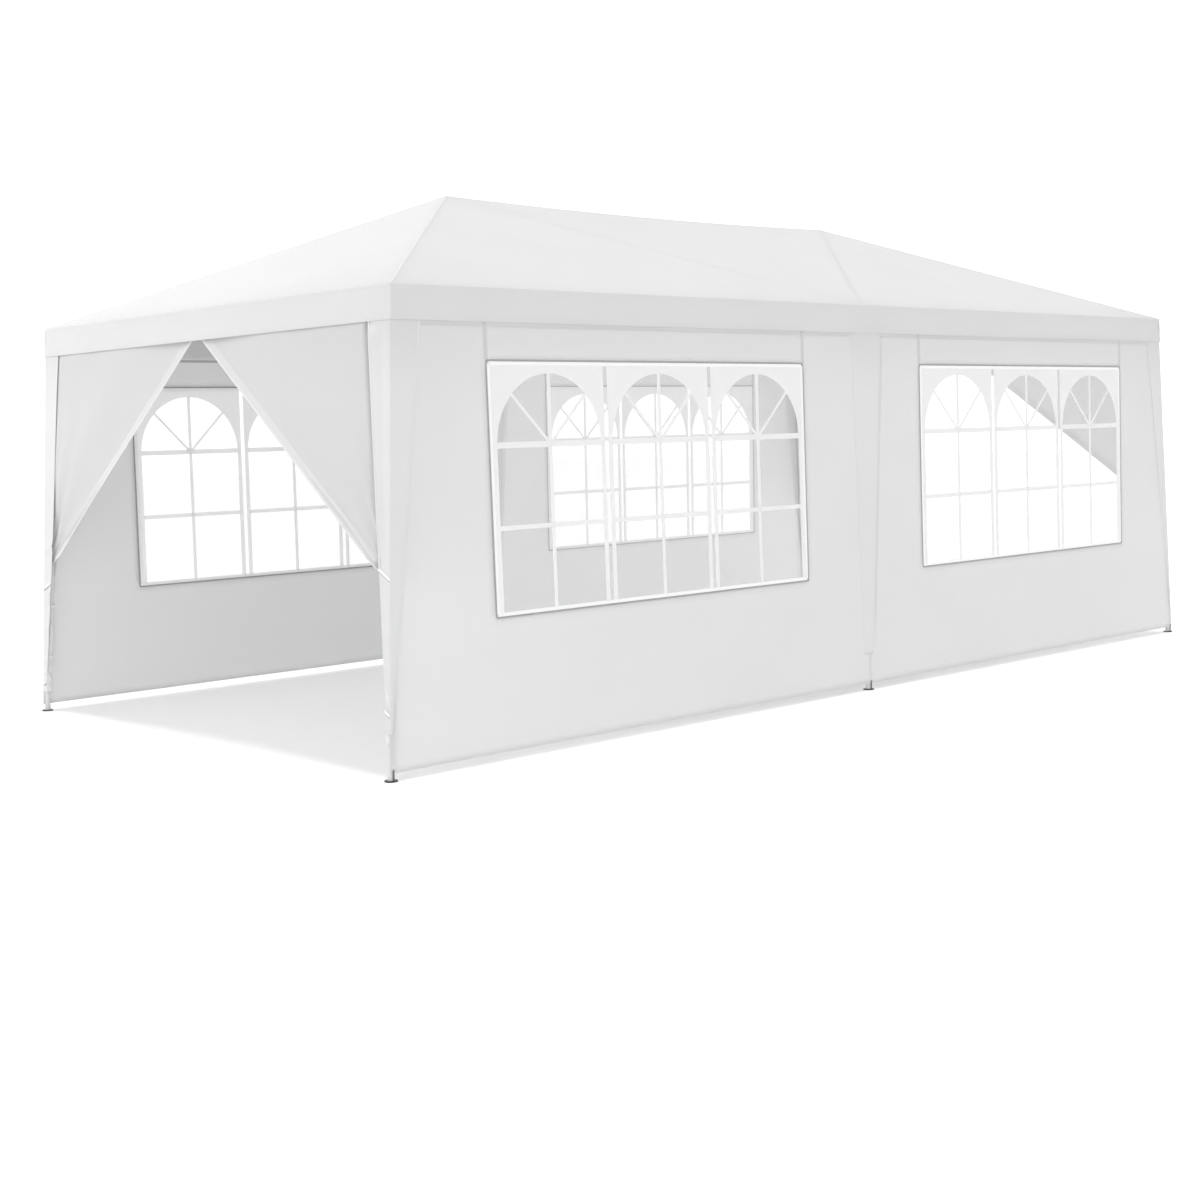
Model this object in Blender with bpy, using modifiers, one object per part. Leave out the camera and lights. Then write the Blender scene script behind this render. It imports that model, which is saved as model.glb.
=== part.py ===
"""A white 3 x 6 m party tent: slim steel frame, hip roof, window walls, and door curtains tied back at both ends.

The tent stands on z = 0 with its centre over the origin. +X runs along its length, +Y across it and +Z up.
Seen by someone who walks in at the -X end, front is -X, back is +X, right is -Y and left is +Y.
"""

import math

import bmesh
import bpy
from mathutils import Matrix, Vector

# Overall sizes of the cover, in metres
COVER_LENGTH = 6.0
COVER_WIDTH = 3.0
EAVE_EDGE_HEIGHT = 1.992
PEAK_HEIGHT = 2.610
RIDGE_DIP = 0.020

# Steel frame
TUBE_RADIUS = 0.0125
HUB_RADIUS = 0.015
ARM_RADIUS = 0.014
ARM_LENGTH = 0.060
ARM_OVERLAP = 0.002
FOOT_SPLAY_LENGTHWAYS = 0.119
FOOT_SPLAY_SIDEWAYS = 0.030
FOOT_RADIUS = 0.028
FOOT_THICKNESS = 0.005
SOCKET_RADIUS = 0.015
SOCKET_HEIGHT = 0.030
STAKE_HOLE_RADIUS = 0.0035
STAKE_HOLE_REACH = 0.021
TUBE_SIDES = 16

# Cloth, and the clearance between neighbouring pieces
CLOTH = 0.002
FILM = 0.001
GAP = 0.0003

# Heights and widths of the cloth parts
VALANCE_BOTTOM = 1.849
HANGING_TOP_RISE = 0.004
WALL_BOTTOM = 0.035
WINDOW_BOTTOM = 0.610
WINDOW_TOP = 1.690
WINDOW_WIDTH = 2.040
SKIRT_BOTTOM = 0.190
CORNER_SKIRT_WIDTH_AT_VALANCE = 0.150
CORNER_SKIRT_BOTTOM_WIDTH = 0.024
MIDDLE_SKIRT_WIDTH_AT_VALANCE = 0.250
MIDDLE_SKIRT_BOTTOM_WIDTH = 0.078

# Door curtains: a flap down to the gather, then a bundle round the leg
CURTAIN_MEETING_HEIGHT = 1.876
CURTAIN_GATHER_HEIGHT = 0.800
CURTAIN_GATHER_REACH = 1.470
BUNDLE_SQUARING = 0.010
# Each ring of the bundle: height, reach from the leg towards the door's middle, and reach into the tent
BUNDLE_RINGS = (
    (0.850, 0.034, 0.018),
    (0.800, 0.037, 0.019),
    (0.740, 0.045, 0.024),
    (0.640, 0.046, 0.024),
    (0.600, 0.037, 0.019),
    (0.540, 0.043, 0.024),
    (0.370, 0.041, 0.024),
    (0.240, 0.034, 0.021),
    (0.200, 0.026, 0.018),
    (0.150, 0.029, 0.020),
)

# Distances of the cloth layers from the plane through the tube centres
WALL_LAYER = HUB_RADIUS + GAP
SKIRT_LAYER = WALL_LAYER + CLOTH + GAP
VALANCE_LAYER = SKIRT_LAYER + CLOTH + GAP
COVER_EDGE = VALANCE_LAYER + CLOTH

# The frame's centre lines, worked out from the cover's outer sizes
EAVE_X = COVER_LENGTH / 2 - COVER_EDGE
EAVE_Y = COVER_WIDTH / 2 - COVER_EDGE
PEAK_X = EAVE_X - EAVE_Y
ROOF_RISE = (PEAK_HEIGHT - EAVE_EDGE_HEIGHT) / (COVER_WIDTH / 2)
ROOF_STRETCH = math.hypot(1, ROOF_RISE)
CLOTH_LIFT = (HUB_RADIUS + GAP) * ROOF_STRETCH
CLOTH_RISE = CLOTH * ROOF_STRETCH
PEAK_Z = PEAK_HEIGHT - CLOTH_LIFT - CLOTH_RISE
EAVE_Z = PEAK_Z - EAVE_Y * ROOF_RISE
SPLAY_X = FOOT_SPLAY_LENGTHWAYS / EAVE_Z
SPLAY_Y = FOOT_SPLAY_SIDEWAYS / EAVE_Z
HANGING_TOP = EAVE_Z + HANGING_TOP_RISE
SEAM = GAP / math.sqrt(2)

ENDS = {"front": -1, "back": 1}
SIDES = {"right": -1, "left": 1}
UP = Vector((0, 0, 1))


def clear_scene():
    for obj in list(bpy.data.objects):
        bpy.data.objects.remove(obj, do_unlink=True)


def new_collection(name):
    collection = bpy.data.collections.new(name)
    bpy.context.scene.collection.children.link(collection)
    return collection


def new_material(name, colour, roughness, metallic=0.0, alpha=1.0):
    material = bpy.data.materials.new(name)
    material.use_nodes = True
    shader = material.node_tree.nodes["Principled BSDF"]
    shader.inputs["Base Color"].default_value = (*colour, 1)
    shader.inputs["Roughness"].default_value = roughness
    shader.inputs["Metallic"].default_value = metallic
    shader.inputs["Alpha"].default_value = alpha
    return material


clear_scene()
TENT = new_collection("party_tent")
HELPERS = new_collection("cutters_and_joined_pieces")
ROOT = bpy.data.objects.new("party_tent_base", None)
TENT.objects.link(ROOT)


def add_part(name, data, material):
    """Puts one piece of the tent in the scene, under the tent's empty."""
    data.materials.clear()
    data.materials.append(material)
    part = bpy.data.objects.new(name, data)
    TENT.objects.link(part)
    part.parent = ROOT
    return part


def add_helper(name, mesh):
    """A solid that a Boolean adds to a part or cuts from it. It isn't a piece of the tent."""
    helper = bpy.data.objects.new(name, mesh)
    helper.hide_render = True
    helper.display_type = "WIRE"
    HELPERS.objects.link(helper)
    return helper


def combine(part, helper, operation, solver="EXACT"):
    modifier = part.modifiers.new(f"{operation.lower()} {helper.name}", "BOOLEAN")
    modifier.operation = operation
    modifier.solver = solver
    modifier.object = helper


def smooth_round_faces(mesh):
    mesh.shade_smooth()
    mesh.set_sharp_from_angle(angle=math.radians(35))


def cylinder_mesh(name, start, end, radius, sides=TUBE_SIDES):
    start, end = Vector(start), Vector(end)
    along = end - start
    place = Matrix.Translation((start + end) / 2) @ UP.rotation_difference(along).to_matrix().to_4x4()
    bm = bmesh.new()
    bmesh.ops.create_cone(
        bm, cap_ends=True, segments=sides, radius1=radius, radius2=radius, depth=along.length, matrix=place
    )
    mesh = bpy.data.meshes.new(name)
    bm.to_mesh(mesh)
    bm.free()
    smooth_round_faces(mesh)
    return mesh


def tube(name, points, radius, material):
    """A round bar along a chain of points, as a curve with closed ends."""
    curve = bpy.data.curves.new(name, "CURVE")
    curve.dimensions = "3D"
    curve.bevel_depth = radius
    curve.bevel_resolution = TUBE_SIDES // 2 - 2
    curve.use_fill_caps = True
    spline = curve.splines.new("POLY")
    spline.points.add(len(points) - 1)
    for spline_point, point in zip(spline.points, points):
        spline_point.co = (*point, 1)
        spline_point.radius = 1
    return add_part(name, curve, material)


def leg_x(z):
    """How far the end legs' centre line is from the middle of the tent, lengthways, at a height."""
    return EAVE_X + SPLAY_X * (EAVE_Z - z)


def leg_y(z):
    """How far every leg's centre line is from the middle of the tent, sideways, at a height."""
    return EAVE_Y + SPLAY_Y * (EAVE_Z - z)


def leg_point(end, side, z):
    return Vector((end * leg_x(z), side * leg_y(z), z))


def ridge_height(x):
    """The ridge tube bows down a little between the peaks."""
    return PEAK_Z - RIDGE_DIP * (1 - (x / PEAK_X) ** 2)


def peak_point(end):
    return Vector((end * PEAK_X, 0, PEAK_Z))


class Side:
    """A leaning side of the tent: its X runs along the eave, its Y up the legs and its Z outwards."""

    def __init__(self, outwards, distance, splay):
        self.stretch = math.hypot(1, splay)
        self.splay = splay
        self.normal = (outwards + UP * splay) / self.stretch
        self.up = (UP - outwards * splay) / self.stretch
        self.run = self.up.cross(self.normal)
        self.origin = outwards * distance + UP * EAVE_Z
        self.flip = round(sum(self.run))

    def sheet_matrix(self, layer):
        place = Matrix((self.run, self.up, self.normal)).transposed().to_4x4()
        place.translation = self.origin + self.normal * layer
        return place

    def sheet_point(self, along, z, layer):
        """Local coordinates on a layer, from the place along the tent's own axis and the height."""
        return (along * self.flip, (z - EAVE_Z) * self.stretch - layer * self.splay, 0)


END_SIDES = {name: Side(Vector((sign, 0, 0)), EAVE_X, SPLAY_X) for name, sign in ENDS.items()}
LONG_SIDES = {name: Side(Vector((0, sign, 0)), EAVE_Y, SPLAY_Y) for name, sign in SIDES.items()}
END_STRETCH = math.hypot(1, SPLAY_X)
LONG_STRETCH = math.hypot(1, SPLAY_Y)


def flat_sheet(name, side, inner_layer, thickness, outlines, material):
    """A flat sheet in a side of the tent. Its outlines are lists of (along, height), and inner ones are holes."""
    layer = inner_layer + thickness / 2
    curve = bpy.data.curves.new(name, "CURVE")
    curve.dimensions = "2D"
    curve.fill_mode = "BOTH"
    curve.extrude = thickness / 2
    for outline in outlines:
        spline = curve.splines.new("POLY")
        spline.points.add(len(outline) - 1)
        for spline_point, (along, z) in zip(spline.points, outline):
            spline_point.co = (*side.sheet_point(along, z, layer), 1)
        spline.use_cyclic_u = True
    part = add_part(name, curve, material)
    part.matrix_local = side.sheet_matrix(layer)
    return part


def to_mesh_part(part):
    """The same piece as a mesh with its caps welded on, so that a Boolean can use it."""
    bpy.context.view_layer.update()
    graph = bpy.context.evaluated_depsgraph_get()
    mesh = bpy.data.meshes.new_from_object(part.evaluated_get(graph))
    bm = bmesh.new()
    bm.from_mesh(mesh)
    bmesh.ops.remove_doubles(bm, verts=bm.verts, dist=1e-6)
    bm.to_mesh(mesh)
    bm.free()
    name, place, material, curve = part.name, part.matrix_world.copy(), part.data.materials[0], part.data
    bpy.data.objects.remove(part)
    bpy.data.curves.remove(curve)
    mesh_part = add_part(name, mesh, material)
    mesh_part.matrix_local = place
    return mesh_part


def rectangle(low_along, high_along, low_z, high_z):
    return [(low_along, low_z), (high_along, low_z), (high_along, high_z), (low_along, high_z)]


# Frame


def fitting(name, centre, directions, material):
    """A connector: a round hub with an arm towards each tube that it holds."""
    bm = bmesh.new()
    bmesh.ops.create_uvsphere(
        bm, u_segments=TUBE_SIDES, v_segments=10, radius=HUB_RADIUS, matrix=Matrix.Translation(centre)
    )
    mesh = bpy.data.meshes.new(name)
    bm.to_mesh(mesh)
    bm.free()
    smooth_round_faces(mesh)
    hub = add_part(name, mesh, material)
    for number, direction in enumerate(directions):
        towards = Vector(direction).normalized()
        start = centre - towards * ARM_OVERLAP
        end = centre + towards * ARM_LENGTH
        arm = add_helper(f"{name}_arm_{number}", cylinder_mesh(f"{name}_arm", start, end, ARM_RADIUS, 12))
        combine(hub, arm, "UNION", solver="MANIFOLD")


def tube_between(name, start, end, material):
    """A tube from one connector's arm to the next one's."""
    along = (end - start).normalized()
    clear = ARM_LENGTH + GAP
    tube(name, [start + along * clear, end - along * clear], TUBE_RADIUS, material)


def leg(name, end, side, material):
    """A leaning leg tube with a socket and a round, drilled foot plate at the bottom."""
    top = leg_point(end, side, EAVE_Z)
    sole = leg_point(end, side, 0)
    up_leg = (top - sole).normalized()
    part = add_part(
        name,
        cylinder_mesh(name, sole + up_leg * FOOT_THICKNESS / 2, top - up_leg * (ARM_LENGTH + GAP), TUBE_RADIUS),
        material,
    )
    socket = cylinder_mesh(
        f"{name}_socket", sole + up_leg * FOOT_THICKNESS / 2, sole + up_leg * SOCKET_HEIGHT, SOCKET_RADIUS
    )
    plate = cylinder_mesh(f"{name}_plate", sole, sole + UP * FOOT_THICKNESS, FOOT_RADIUS, 32)
    outwards = Vector((end, side, 0)).normalized() * STAKE_HOLE_REACH
    hole = cylinder_mesh(
        f"{name}_hole", sole + outwards - UP * FOOT_THICKNESS, sole + outwards + UP * 2 * FOOT_THICKNESS,
        STAKE_HOLE_RADIUS, 12,
    )
    combine(part, add_helper(f"{name}_socket", socket), "UNION")
    combine(part, add_helper(f"{name}_plate", plate), "UNION")
    combine(part, add_helper(f"{name}_hole", hole), "DIFFERENCE")


def build_frame(steel, fitting_steel):
    peaks = {name: peak_point(sign) for name, sign in ENDS.items()}
    corners = {(e, s): leg_point(ENDS[e], SIDES[s], EAVE_Z) for e in ENDS for s in SIDES}
    middles = {s: leg_point(0, SIDES[s], EAVE_Z) for s in SIDES}
    lengthways = {name: Vector((sign, 0, 0)) for name, sign in ENDS.items()}
    sideways = {name: Vector((0, sign, 0)) for name, sign in SIDES.items()}
    ridge_slope = 2 * RIDGE_DIP / PEAK_X

    for s, side in SIDES.items():
        leg(f"leg_middle_{s}", 0, side, steel)
        down = leg_point(0, side, 0) - middles[s]
        to_peaks = [peaks[e] - middles[s] for e in ENDS]
        fitting(f"connector_middle_{s}", middles[s], [*lengthways.values(), down, *to_peaks], fitting_steel)
        for e, end in ENDS.items():
            corner = corners[e, s]
            leg(f"leg_{e}_{s}", end, side, steel)
            down = leg_point(end, side, 0) - corner
            arms = [-lengthways[e], -sideways[s], down, peaks[e] - corner]
            fitting(f"connector_{e}_{s}", corner, arms, fitting_steel)
            tube_between(f"eave_{s}_{e}", middles[s], corner, steel)
            tube_between(f"rafter_{e}_{s}", corner, peaks[e], steel)
            tube_between(f"rafter_middle_{e}_{s}", middles[s], peaks[e], steel)

    for e, end in ENDS.items():
        tube_between(f"eave_{e}", corners[e, "right"], corners[e, "left"], steel)
        along_ridge = Vector((-end, 0, -ridge_slope))
        to_eaves = [point - peaks[e] for point in (corners[e, "left"], corners[e, "right"], *middles.values())]
        fitting(f"connector_peak_{e}", peaks[e], [along_ridge, *to_eaves], fitting_steel)

    ridge_end = PEAK_X - (ARM_LENGTH + GAP)
    steps = 16
    ridge_xs = [ridge_end * (2 * i / steps - 1) for i in range(steps + 1)]
    tube("ridge_tube", [(x, 0, ridge_height(x)) for x in ridge_xs], TUBE_RADIUS, steel)


# Roof cover


def roof_underside(x, y):
    """Height of the cloth's lower face: flat slopes, with a shallow fan between the eave's middle and the ridge."""
    run = min(EAVE_X - abs(x), EAVE_Y - abs(y))
    height = EAVE_Z + ROOF_RISE * run
    share = (EAVE_Y - abs(y)) / EAVE_Y
    if share > 0 and abs(x) < PEAK_X * share:
        height = EAVE_Z + share * (ridge_height(x / share) - EAVE_Z)
    return height + CLOTH_LIFT


def roof_panel(name, plan, faces, material):
    """A roof slope from its outline in plan, given its thickness by extruding it upwards."""
    bm = bmesh.new()
    corners = [bm.verts.new((x, y, roof_underside(x, y))) for x, y in plan]
    slope = [bm.faces.new([corners[i] for i in face]) for face in faces]
    extruded = bmesh.ops.extrude_face_region(bm, geom=slope)
    top = [item for item in extruded["geom"] if isinstance(item, bmesh.types.BMVert)]
    bmesh.ops.translate(bm, verts=top, vec=UP * CLOTH_RISE)
    bmesh.ops.recalc_face_normals(bm, faces=bm.faces)
    mesh = bpy.data.meshes.new(name)
    bm.to_mesh(mesh)
    bm.free()
    return add_part(name, mesh, material)


def build_roof(cloth):
    half_length, half_width = COVER_LENGTH / 2, COVER_WIDTH / 2
    for e, end in ENDS.items():
        plan = [
            (end * half_length, -(half_width - SEAM)),
            (end * half_length, half_width - SEAM),
            (end * (PEAK_X + SEAM), 0),
        ]
        roof_panel(f"roof_{e}", plan, [(0, 1, 2)], cloth)
    ridge_steps = 12
    ridge_xs = [(PEAK_X - SEAM) * (2 * i / ridge_steps - 1) for i in range(ridge_steps + 1)]
    for s, side in SIDES.items():
        plan = [(-(half_length - SEAM), side * half_width), (0, side * half_width), (half_length - SEAM, side * half_width)]
        plan.append((0, side * EAVE_Y))
        plan.extend((x, side * GAP / 2) for x in ridge_xs)
        apex, first, last = 3, 4, 4 + ridge_steps
        faces = [(0, 1, apex, first), (1, 2, last, apex)]
        faces.extend((apex, i + 1, i) for i in range(first, last))
        roof_panel(f"roof_{s}", plan, faces, cloth)


def build_valances(cloth):
    top = roof_underside(COVER_LENGTH / 2, 0) - GAP
    for e, side in END_SIDES.items():
        low = leg_y(VALANCE_BOTTOM) + COVER_EDGE * LONG_STRETCH
        high = leg_y(top) + COVER_EDGE * LONG_STRETCH
        outline = [(-low, VALANCE_BOTTOM), (low, VALANCE_BOTTOM), (high, top), (-high, top)]
        flat_sheet(f"valance_{e}", side, VALANCE_LAYER, CLOTH, [outline], cloth)
    for s, side in LONG_SIDES.items():
        low = leg_x(VALANCE_BOTTOM) + (VALANCE_LAYER - GAP) * END_STRETCH
        high = leg_x(top) + (VALANCE_LAYER - GAP) * END_STRETCH
        outline = [(-low, VALANCE_BOTTOM), (low, VALANCE_BOTTOM), (high, top), (-high, top)]
        flat_sheet(f"valance_{s}", side, VALANCE_LAYER, CLOTH, [outline], cloth)


# Walls, windows and leg skirts


def build_walls(cloth, film):
    for s, side in LONG_SIDES.items():
        for e, end in ENDS.items():
            low = leg_x(WALL_BOTTOM) + (WALL_LAYER + CLOTH) * END_STRETCH
            high = leg_x(HANGING_TOP) + (WALL_LAYER + CLOTH) * END_STRETCH
            middle = end * GAP / 2
            outline = [(middle, WALL_BOTTOM), (end * low, WALL_BOTTOM), (end * high, HANGING_TOP), (middle, HANGING_TOP)]
            centre = end * COVER_LENGTH / 4
            left, right = centre - WINDOW_WIDTH / 2, centre + WINDOW_WIDTH / 2
            opening = rectangle(left, right, WINDOW_BOTTOM, WINDOW_TOP)
            pane = rectangle(left + GAP, right - GAP, WINDOW_BOTTOM + GAP, WINDOW_TOP - GAP)
            flat_sheet(f"wall_{s}_{e}", side, WALL_LAYER, CLOTH, [outline, opening], cloth)
            flat_sheet(f"window_{s}_{e}", side, WALL_LAYER + (CLOTH - FILM) / 2, FILM, [pane], film)


def skirt_width(z, width_at_valance, bottom_width):
    """Skirts taper evenly from the valance to their lower end."""
    share = (z - SKIRT_BOTTOM) / (VALANCE_BOTTOM - SKIRT_BOTTOM)
    return bottom_width + (width_at_valance - bottom_width) * share


def corner_skirt(name, end, side, cloth):
    """A skirt folded round a corner leg: two tapering wings that share the corner's edge."""
    bm = bmesh.new()
    rows = []
    for z in (SKIRT_BOTTOM, HANGING_TOP):
        width = skirt_width(z, CORNER_SKIRT_WIDTH_AT_VALANCE, CORNER_SKIRT_BOTTOM_WIDTH)
        edge_x = leg_x(z) + SKIRT_LAYER * END_STRETCH
        edge_y = leg_y(z) + SKIRT_LAYER * LONG_STRETCH
        places = [(edge_x, edge_y - width), (edge_x, edge_y), (edge_x - width, edge_y)]
        rows.append([bm.verts.new((end * x, side * y, z)) for x, y in places])
    for i in range(2):
        bm.faces.new((rows[0][i], rows[0][i + 1], rows[1][i + 1], rows[1][i]))
    bmesh.ops.recalc_face_normals(bm, faces=bm.faces)
    if bm.faces[:][0].normal.dot(Vector((end, side, 0))) < 0:
        bmesh.ops.reverse_faces(bm, faces=bm.faces)
    mesh = bpy.data.meshes.new(name)
    bm.to_mesh(mesh)
    bm.free()
    part = add_part(name, mesh, cloth)
    thickness = part.modifiers.new("cloth thickness", "SOLIDIFY")
    thickness.thickness = CLOTH
    thickness.offset = 1
    thickness.use_even_offset = True


def build_skirts(cloth):
    for s, side in SIDES.items():
        low = MIDDLE_SKIRT_BOTTOM_WIDTH / 2
        high = skirt_width(HANGING_TOP, MIDDLE_SKIRT_WIDTH_AT_VALANCE, MIDDLE_SKIRT_BOTTOM_WIDTH) / 2
        outline = [(-low, SKIRT_BOTTOM), (low, SKIRT_BOTTOM), (high, HANGING_TOP), (-high, HANGING_TOP)]
        flat_sheet(f"skirt_middle_{s}", LONG_SIDES[s], SKIRT_LAYER, CLOTH, [outline], cloth)
        for e, end in ENDS.items():
            corner_skirt(f"skirt_{e}_{s}", end, side, cloth)


# Door curtains


def rounded_rectangle(low_a, high_a, low_b, high_b, radius, steps=4):
    """Points round a rectangle with round corners, from its sides' places."""
    centres = (
        (high_a - radius, high_b - radius), (low_a + radius, high_b - radius),
        (low_a + radius, low_b + radius), (high_a - radius, low_b + radius),
    )
    points = []
    for quarter, (a, b) in enumerate(centres):
        for step in range(steps + 1):
            angle = math.radians(90) * (quarter + step / steps)
            points.append((a + radius * math.cos(angle), b + radius * math.sin(angle)))
    return points


def bundle_mesh(name, end, side):
    """The gathered cloth round a corner leg, lofted through its rings."""
    bm = bmesh.new()
    rings = []
    for z, door_reach, inner_reach in BUNDLE_RINGS:
        section = rounded_rectangle(
            -HUB_RADIUS * LONG_STRETCH, door_reach, -(WALL_LAYER + CLOTH) * END_STRETCH, inner_reach, BUNDLE_SQUARING
        )
        rings.append([bm.verts.new((end * (leg_x(z) - b), side * (leg_y(z) - a), z)) for a, b in section])
    count = len(rings[0])
    for upper, lower in zip(rings, rings[1:]):
        for i in range(count):
            bm.faces.new((upper[i], upper[(i + 1) % count], lower[(i + 1) % count], lower[i]))
    bm.faces.new(rings[0])
    bm.faces.new(rings[-1])
    bmesh.ops.recalc_face_normals(bm, faces=bm.faces)
    mesh = bpy.data.meshes.new(name)
    bm.to_mesh(mesh)
    bm.free()
    return mesh


def curtain(name, end, side, wall_side, cloth):
    """Half of an end wall, zipped open: a flap that runs slanting down to the leg, and a bundle round the leg."""
    outer = [leg_y(z) + HUB_RADIUS * LONG_STRETCH for z in (HANGING_TOP, CURTAIN_GATHER_HEIGHT)]
    outline = [
        (GAP / 2, HANGING_TOP),
        (outer[0], HANGING_TOP),
        (outer[1], CURTAIN_GATHER_HEIGHT),
        (CURTAIN_GATHER_REACH, CURTAIN_GATHER_HEIGHT),
        (GAP / 2, CURTAIN_MEETING_HEIGHT),
    ]
    flap = flat_sheet(name, wall_side, WALL_LAYER, CLOTH, [[(side * y, z) for y, z in outline]], cloth)
    flap = to_mesh_part(flap)
    bundle = add_helper(f"{name}_bundle", bundle_mesh(f"{name}_bundle", end, side))
    combine(flap, bundle, "UNION")
    bore_ends = [leg_point(end, side, z) for z in (BUNDLE_RINGS[-1][0] - 0.05, BUNDLE_RINGS[0][0] + 0.05)]
    bore = add_helper(f"{name}_leg_bore", cylinder_mesh(f"{name}_leg_bore", *bore_ends, TUBE_RADIUS + GAP))
    combine(flap, bore, "DIFFERENCE")


def build_curtains(cloth):
    for e, end in ENDS.items():
        for s, side in SIDES.items():
            curtain(f"curtain_{e}_{s}", end, side, END_SIDES[e], cloth)


steel = new_material("painted_steel", (0.62, 0.63, 0.64), 0.38, metallic=0.6)
fitting_steel = new_material("fitting_steel", (0.45, 0.46, 0.47), 0.42, metallic=0.6)
roof_cloth = new_material("roof_cloth", (0.90, 0.90, 0.90), 0.62)
wall_cloth = new_material("wall_cloth", (0.86, 0.86, 0.86), 0.66)
clear_film = new_material("clear_film", (0.88, 0.90, 0.91), 0.12, alpha=0.35)

build_frame(steel, fitting_steel)
build_roof(roof_cloth)
build_valances(roof_cloth)
build_walls(wall_cloth, clear_film)
build_skirts(wall_cloth)
build_curtains(wall_cloth)
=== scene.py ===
"""Looks of a white 3 x 6 m party tent: sewn roof cover, window walls, leg skirts and tied-back door curtains.

The frame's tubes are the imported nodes. Front is -X, back is +X, right is -Y and left is +Y, and z = 0 is
the ground. Sizes are in metres.
"""

import math

import bmesh
import bpy
import numpy as np
from mathutils import Matrix, Vector, noise


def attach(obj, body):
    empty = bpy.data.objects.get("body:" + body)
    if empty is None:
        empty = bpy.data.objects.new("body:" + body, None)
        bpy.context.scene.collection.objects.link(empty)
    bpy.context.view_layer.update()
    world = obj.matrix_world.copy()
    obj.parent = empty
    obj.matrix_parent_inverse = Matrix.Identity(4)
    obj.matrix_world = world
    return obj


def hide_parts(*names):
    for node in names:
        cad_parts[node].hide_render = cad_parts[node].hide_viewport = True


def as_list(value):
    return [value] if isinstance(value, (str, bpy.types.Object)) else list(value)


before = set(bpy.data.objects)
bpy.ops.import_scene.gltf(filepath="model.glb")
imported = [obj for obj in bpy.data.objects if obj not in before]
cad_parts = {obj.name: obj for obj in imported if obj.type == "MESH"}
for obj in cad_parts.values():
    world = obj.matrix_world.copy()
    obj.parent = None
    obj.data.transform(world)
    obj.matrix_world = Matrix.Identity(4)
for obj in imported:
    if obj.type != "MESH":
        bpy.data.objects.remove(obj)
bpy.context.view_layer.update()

# The frame's centre lines and the cloth layers outside them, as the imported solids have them
EAVE_X, EAVE_Y, EAVE_Z = 2.9781, 1.4781, 1.98231
PEAK_X, PEAK_Z = 1.5, 2.59129
SPLAY_X, SPLAY_Y = 0.119 / EAVE_Z, 0.030 / EAVE_Z
END_STRETCH, LONG_STRETCH = math.hypot(1, SPLAY_X), math.hypot(1, SPLAY_Y)
TUBE_RADIUS = 0.0125
HUB_RADIUS = 0.015
FOOT_PLATE = 0.005
WALL_LAYER, SKIRT_LAYER, VALANCE_LAYER = 0.0163, 0.0186, 0.0209

# The roof: its rise for each metre inwards, its slack between the tubes and the cover's half size
ROOF_RISE = 0.412
ROOF_STRETCH = math.hypot(1, ROOF_RISE)
ROOF_LAYER = 0.0163
ROOF_SLACK = 0.008
RIDGE_DIP = 0.020
COVER_HALF_LENGTH, COVER_HALF_WIDTH = 3.0, 1.5

# Heights and widths of the cloth parts
EAVE_EDGE_HEIGHT = 1.992
HANGING_TOP = 1.9858
VALANCE_BOTTOM = 1.849
WALL_BOTTOM = 0.035
WINDOW_BOTTOM, WINDOW_TOP, WINDOW_WIDTH = 0.610, 1.690, 2.040
SKIRT_BOTTOM = 0.190
CORNER_SKIRT_WIDTHS = (0.150, 0.024)
MIDDLE_SKIRT_WIDTHS = (0.250, 0.078)
CURTAIN_MEETING_HEIGHT = 1.888
GATHER_REACH = 1.470
GATHER_HEIGHTS = {"right": 0.800, "left": 0.755}
ROLL_TOP = 0.865
ROLL_BOTTOMS = {"right": 0.150, "left": 0.100}
INNER_TAPE_HEIGHT = 1.834

# Cloth and its edges. The slit is half the gap between two cloths at the middle of a side.
CLOTH = 0.0008
FILM = 0.0004
HEM = 0.022
WELT = 0.016
PIPING = 0.0075
SLIT = 0.0006

# Tapes on the cloth: width, then where the inner and the outer face lie off the cloth's middle
WALL_SEAM = (0.020, -0.0009, 0.0011)
WALL_FOOT_HEM = (0.004, -0.0007, 0.0007)
WALL_TOP_HEM = (HEM, -0.0007, 0.0007)
INNER_TAPE = (0.012, -0.0014, -0.0004)
WINDOW_PIPING = (PIPING, -0.0016, 0.0016)
WINDOW_WELT = (WELT, -0.0011, 0.0011)
FLAP_BAND = (0.034, -0.0009, 0.0010)
FLAP_TOP_HEM = (HEM, -0.0008, 0.0008)
ZIP_TAPE = (0.012, -0.0006, 0.0006)

# How far a thread lies off the cloth's middle where it crosses each layer
ON_CLOTH, ON_SKIRT_HEM, ON_VALANCE_HEM = 0.0005, 0.0009, 0.0010
ON_BAND, ON_WELT, ON_SEAM = 0.0011, 0.0012, 0.0013

ENDS = {"front": -1, "back": 1}
LONGS = {"right": -1, "left": 1}
SIDES = (*LONGS, *ENDS)
UP = Vector((0, 0, 1))


def smooth_step(low, high, value):
    share = min(1.0, max(0.0, (value - low) / (high - low)))
    return share * share * (3 - 2 * share)


def mixed(a, b, share):
    return a + (b - a) * share


def spread(low, high, step):
    """Evenly spaced places from low to high, about a step apart."""
    count = max(1, round(abs(high - low) / step))
    return [mixed(low, high, i / count) for i in range(count + 1)]


def level(height, start, end, step=0.05):
    """A route along a surface at one height."""
    return [(along, height) for along in spread(start, end, step)]


def upright(along, start, end, step=0.05):
    """A route up or down a surface at one place along it."""
    return [(along, height) for height in spread(start, end, step)]


def band_section(low, high, under, over):
    """The four corners of a flat band's section: across its width and through its thickness."""
    return ((low, under), (high, under), (high, over), (low, over))


def leg_x(z):
    return EAVE_X + SPLAY_X * (EAVE_Z - z)


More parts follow.
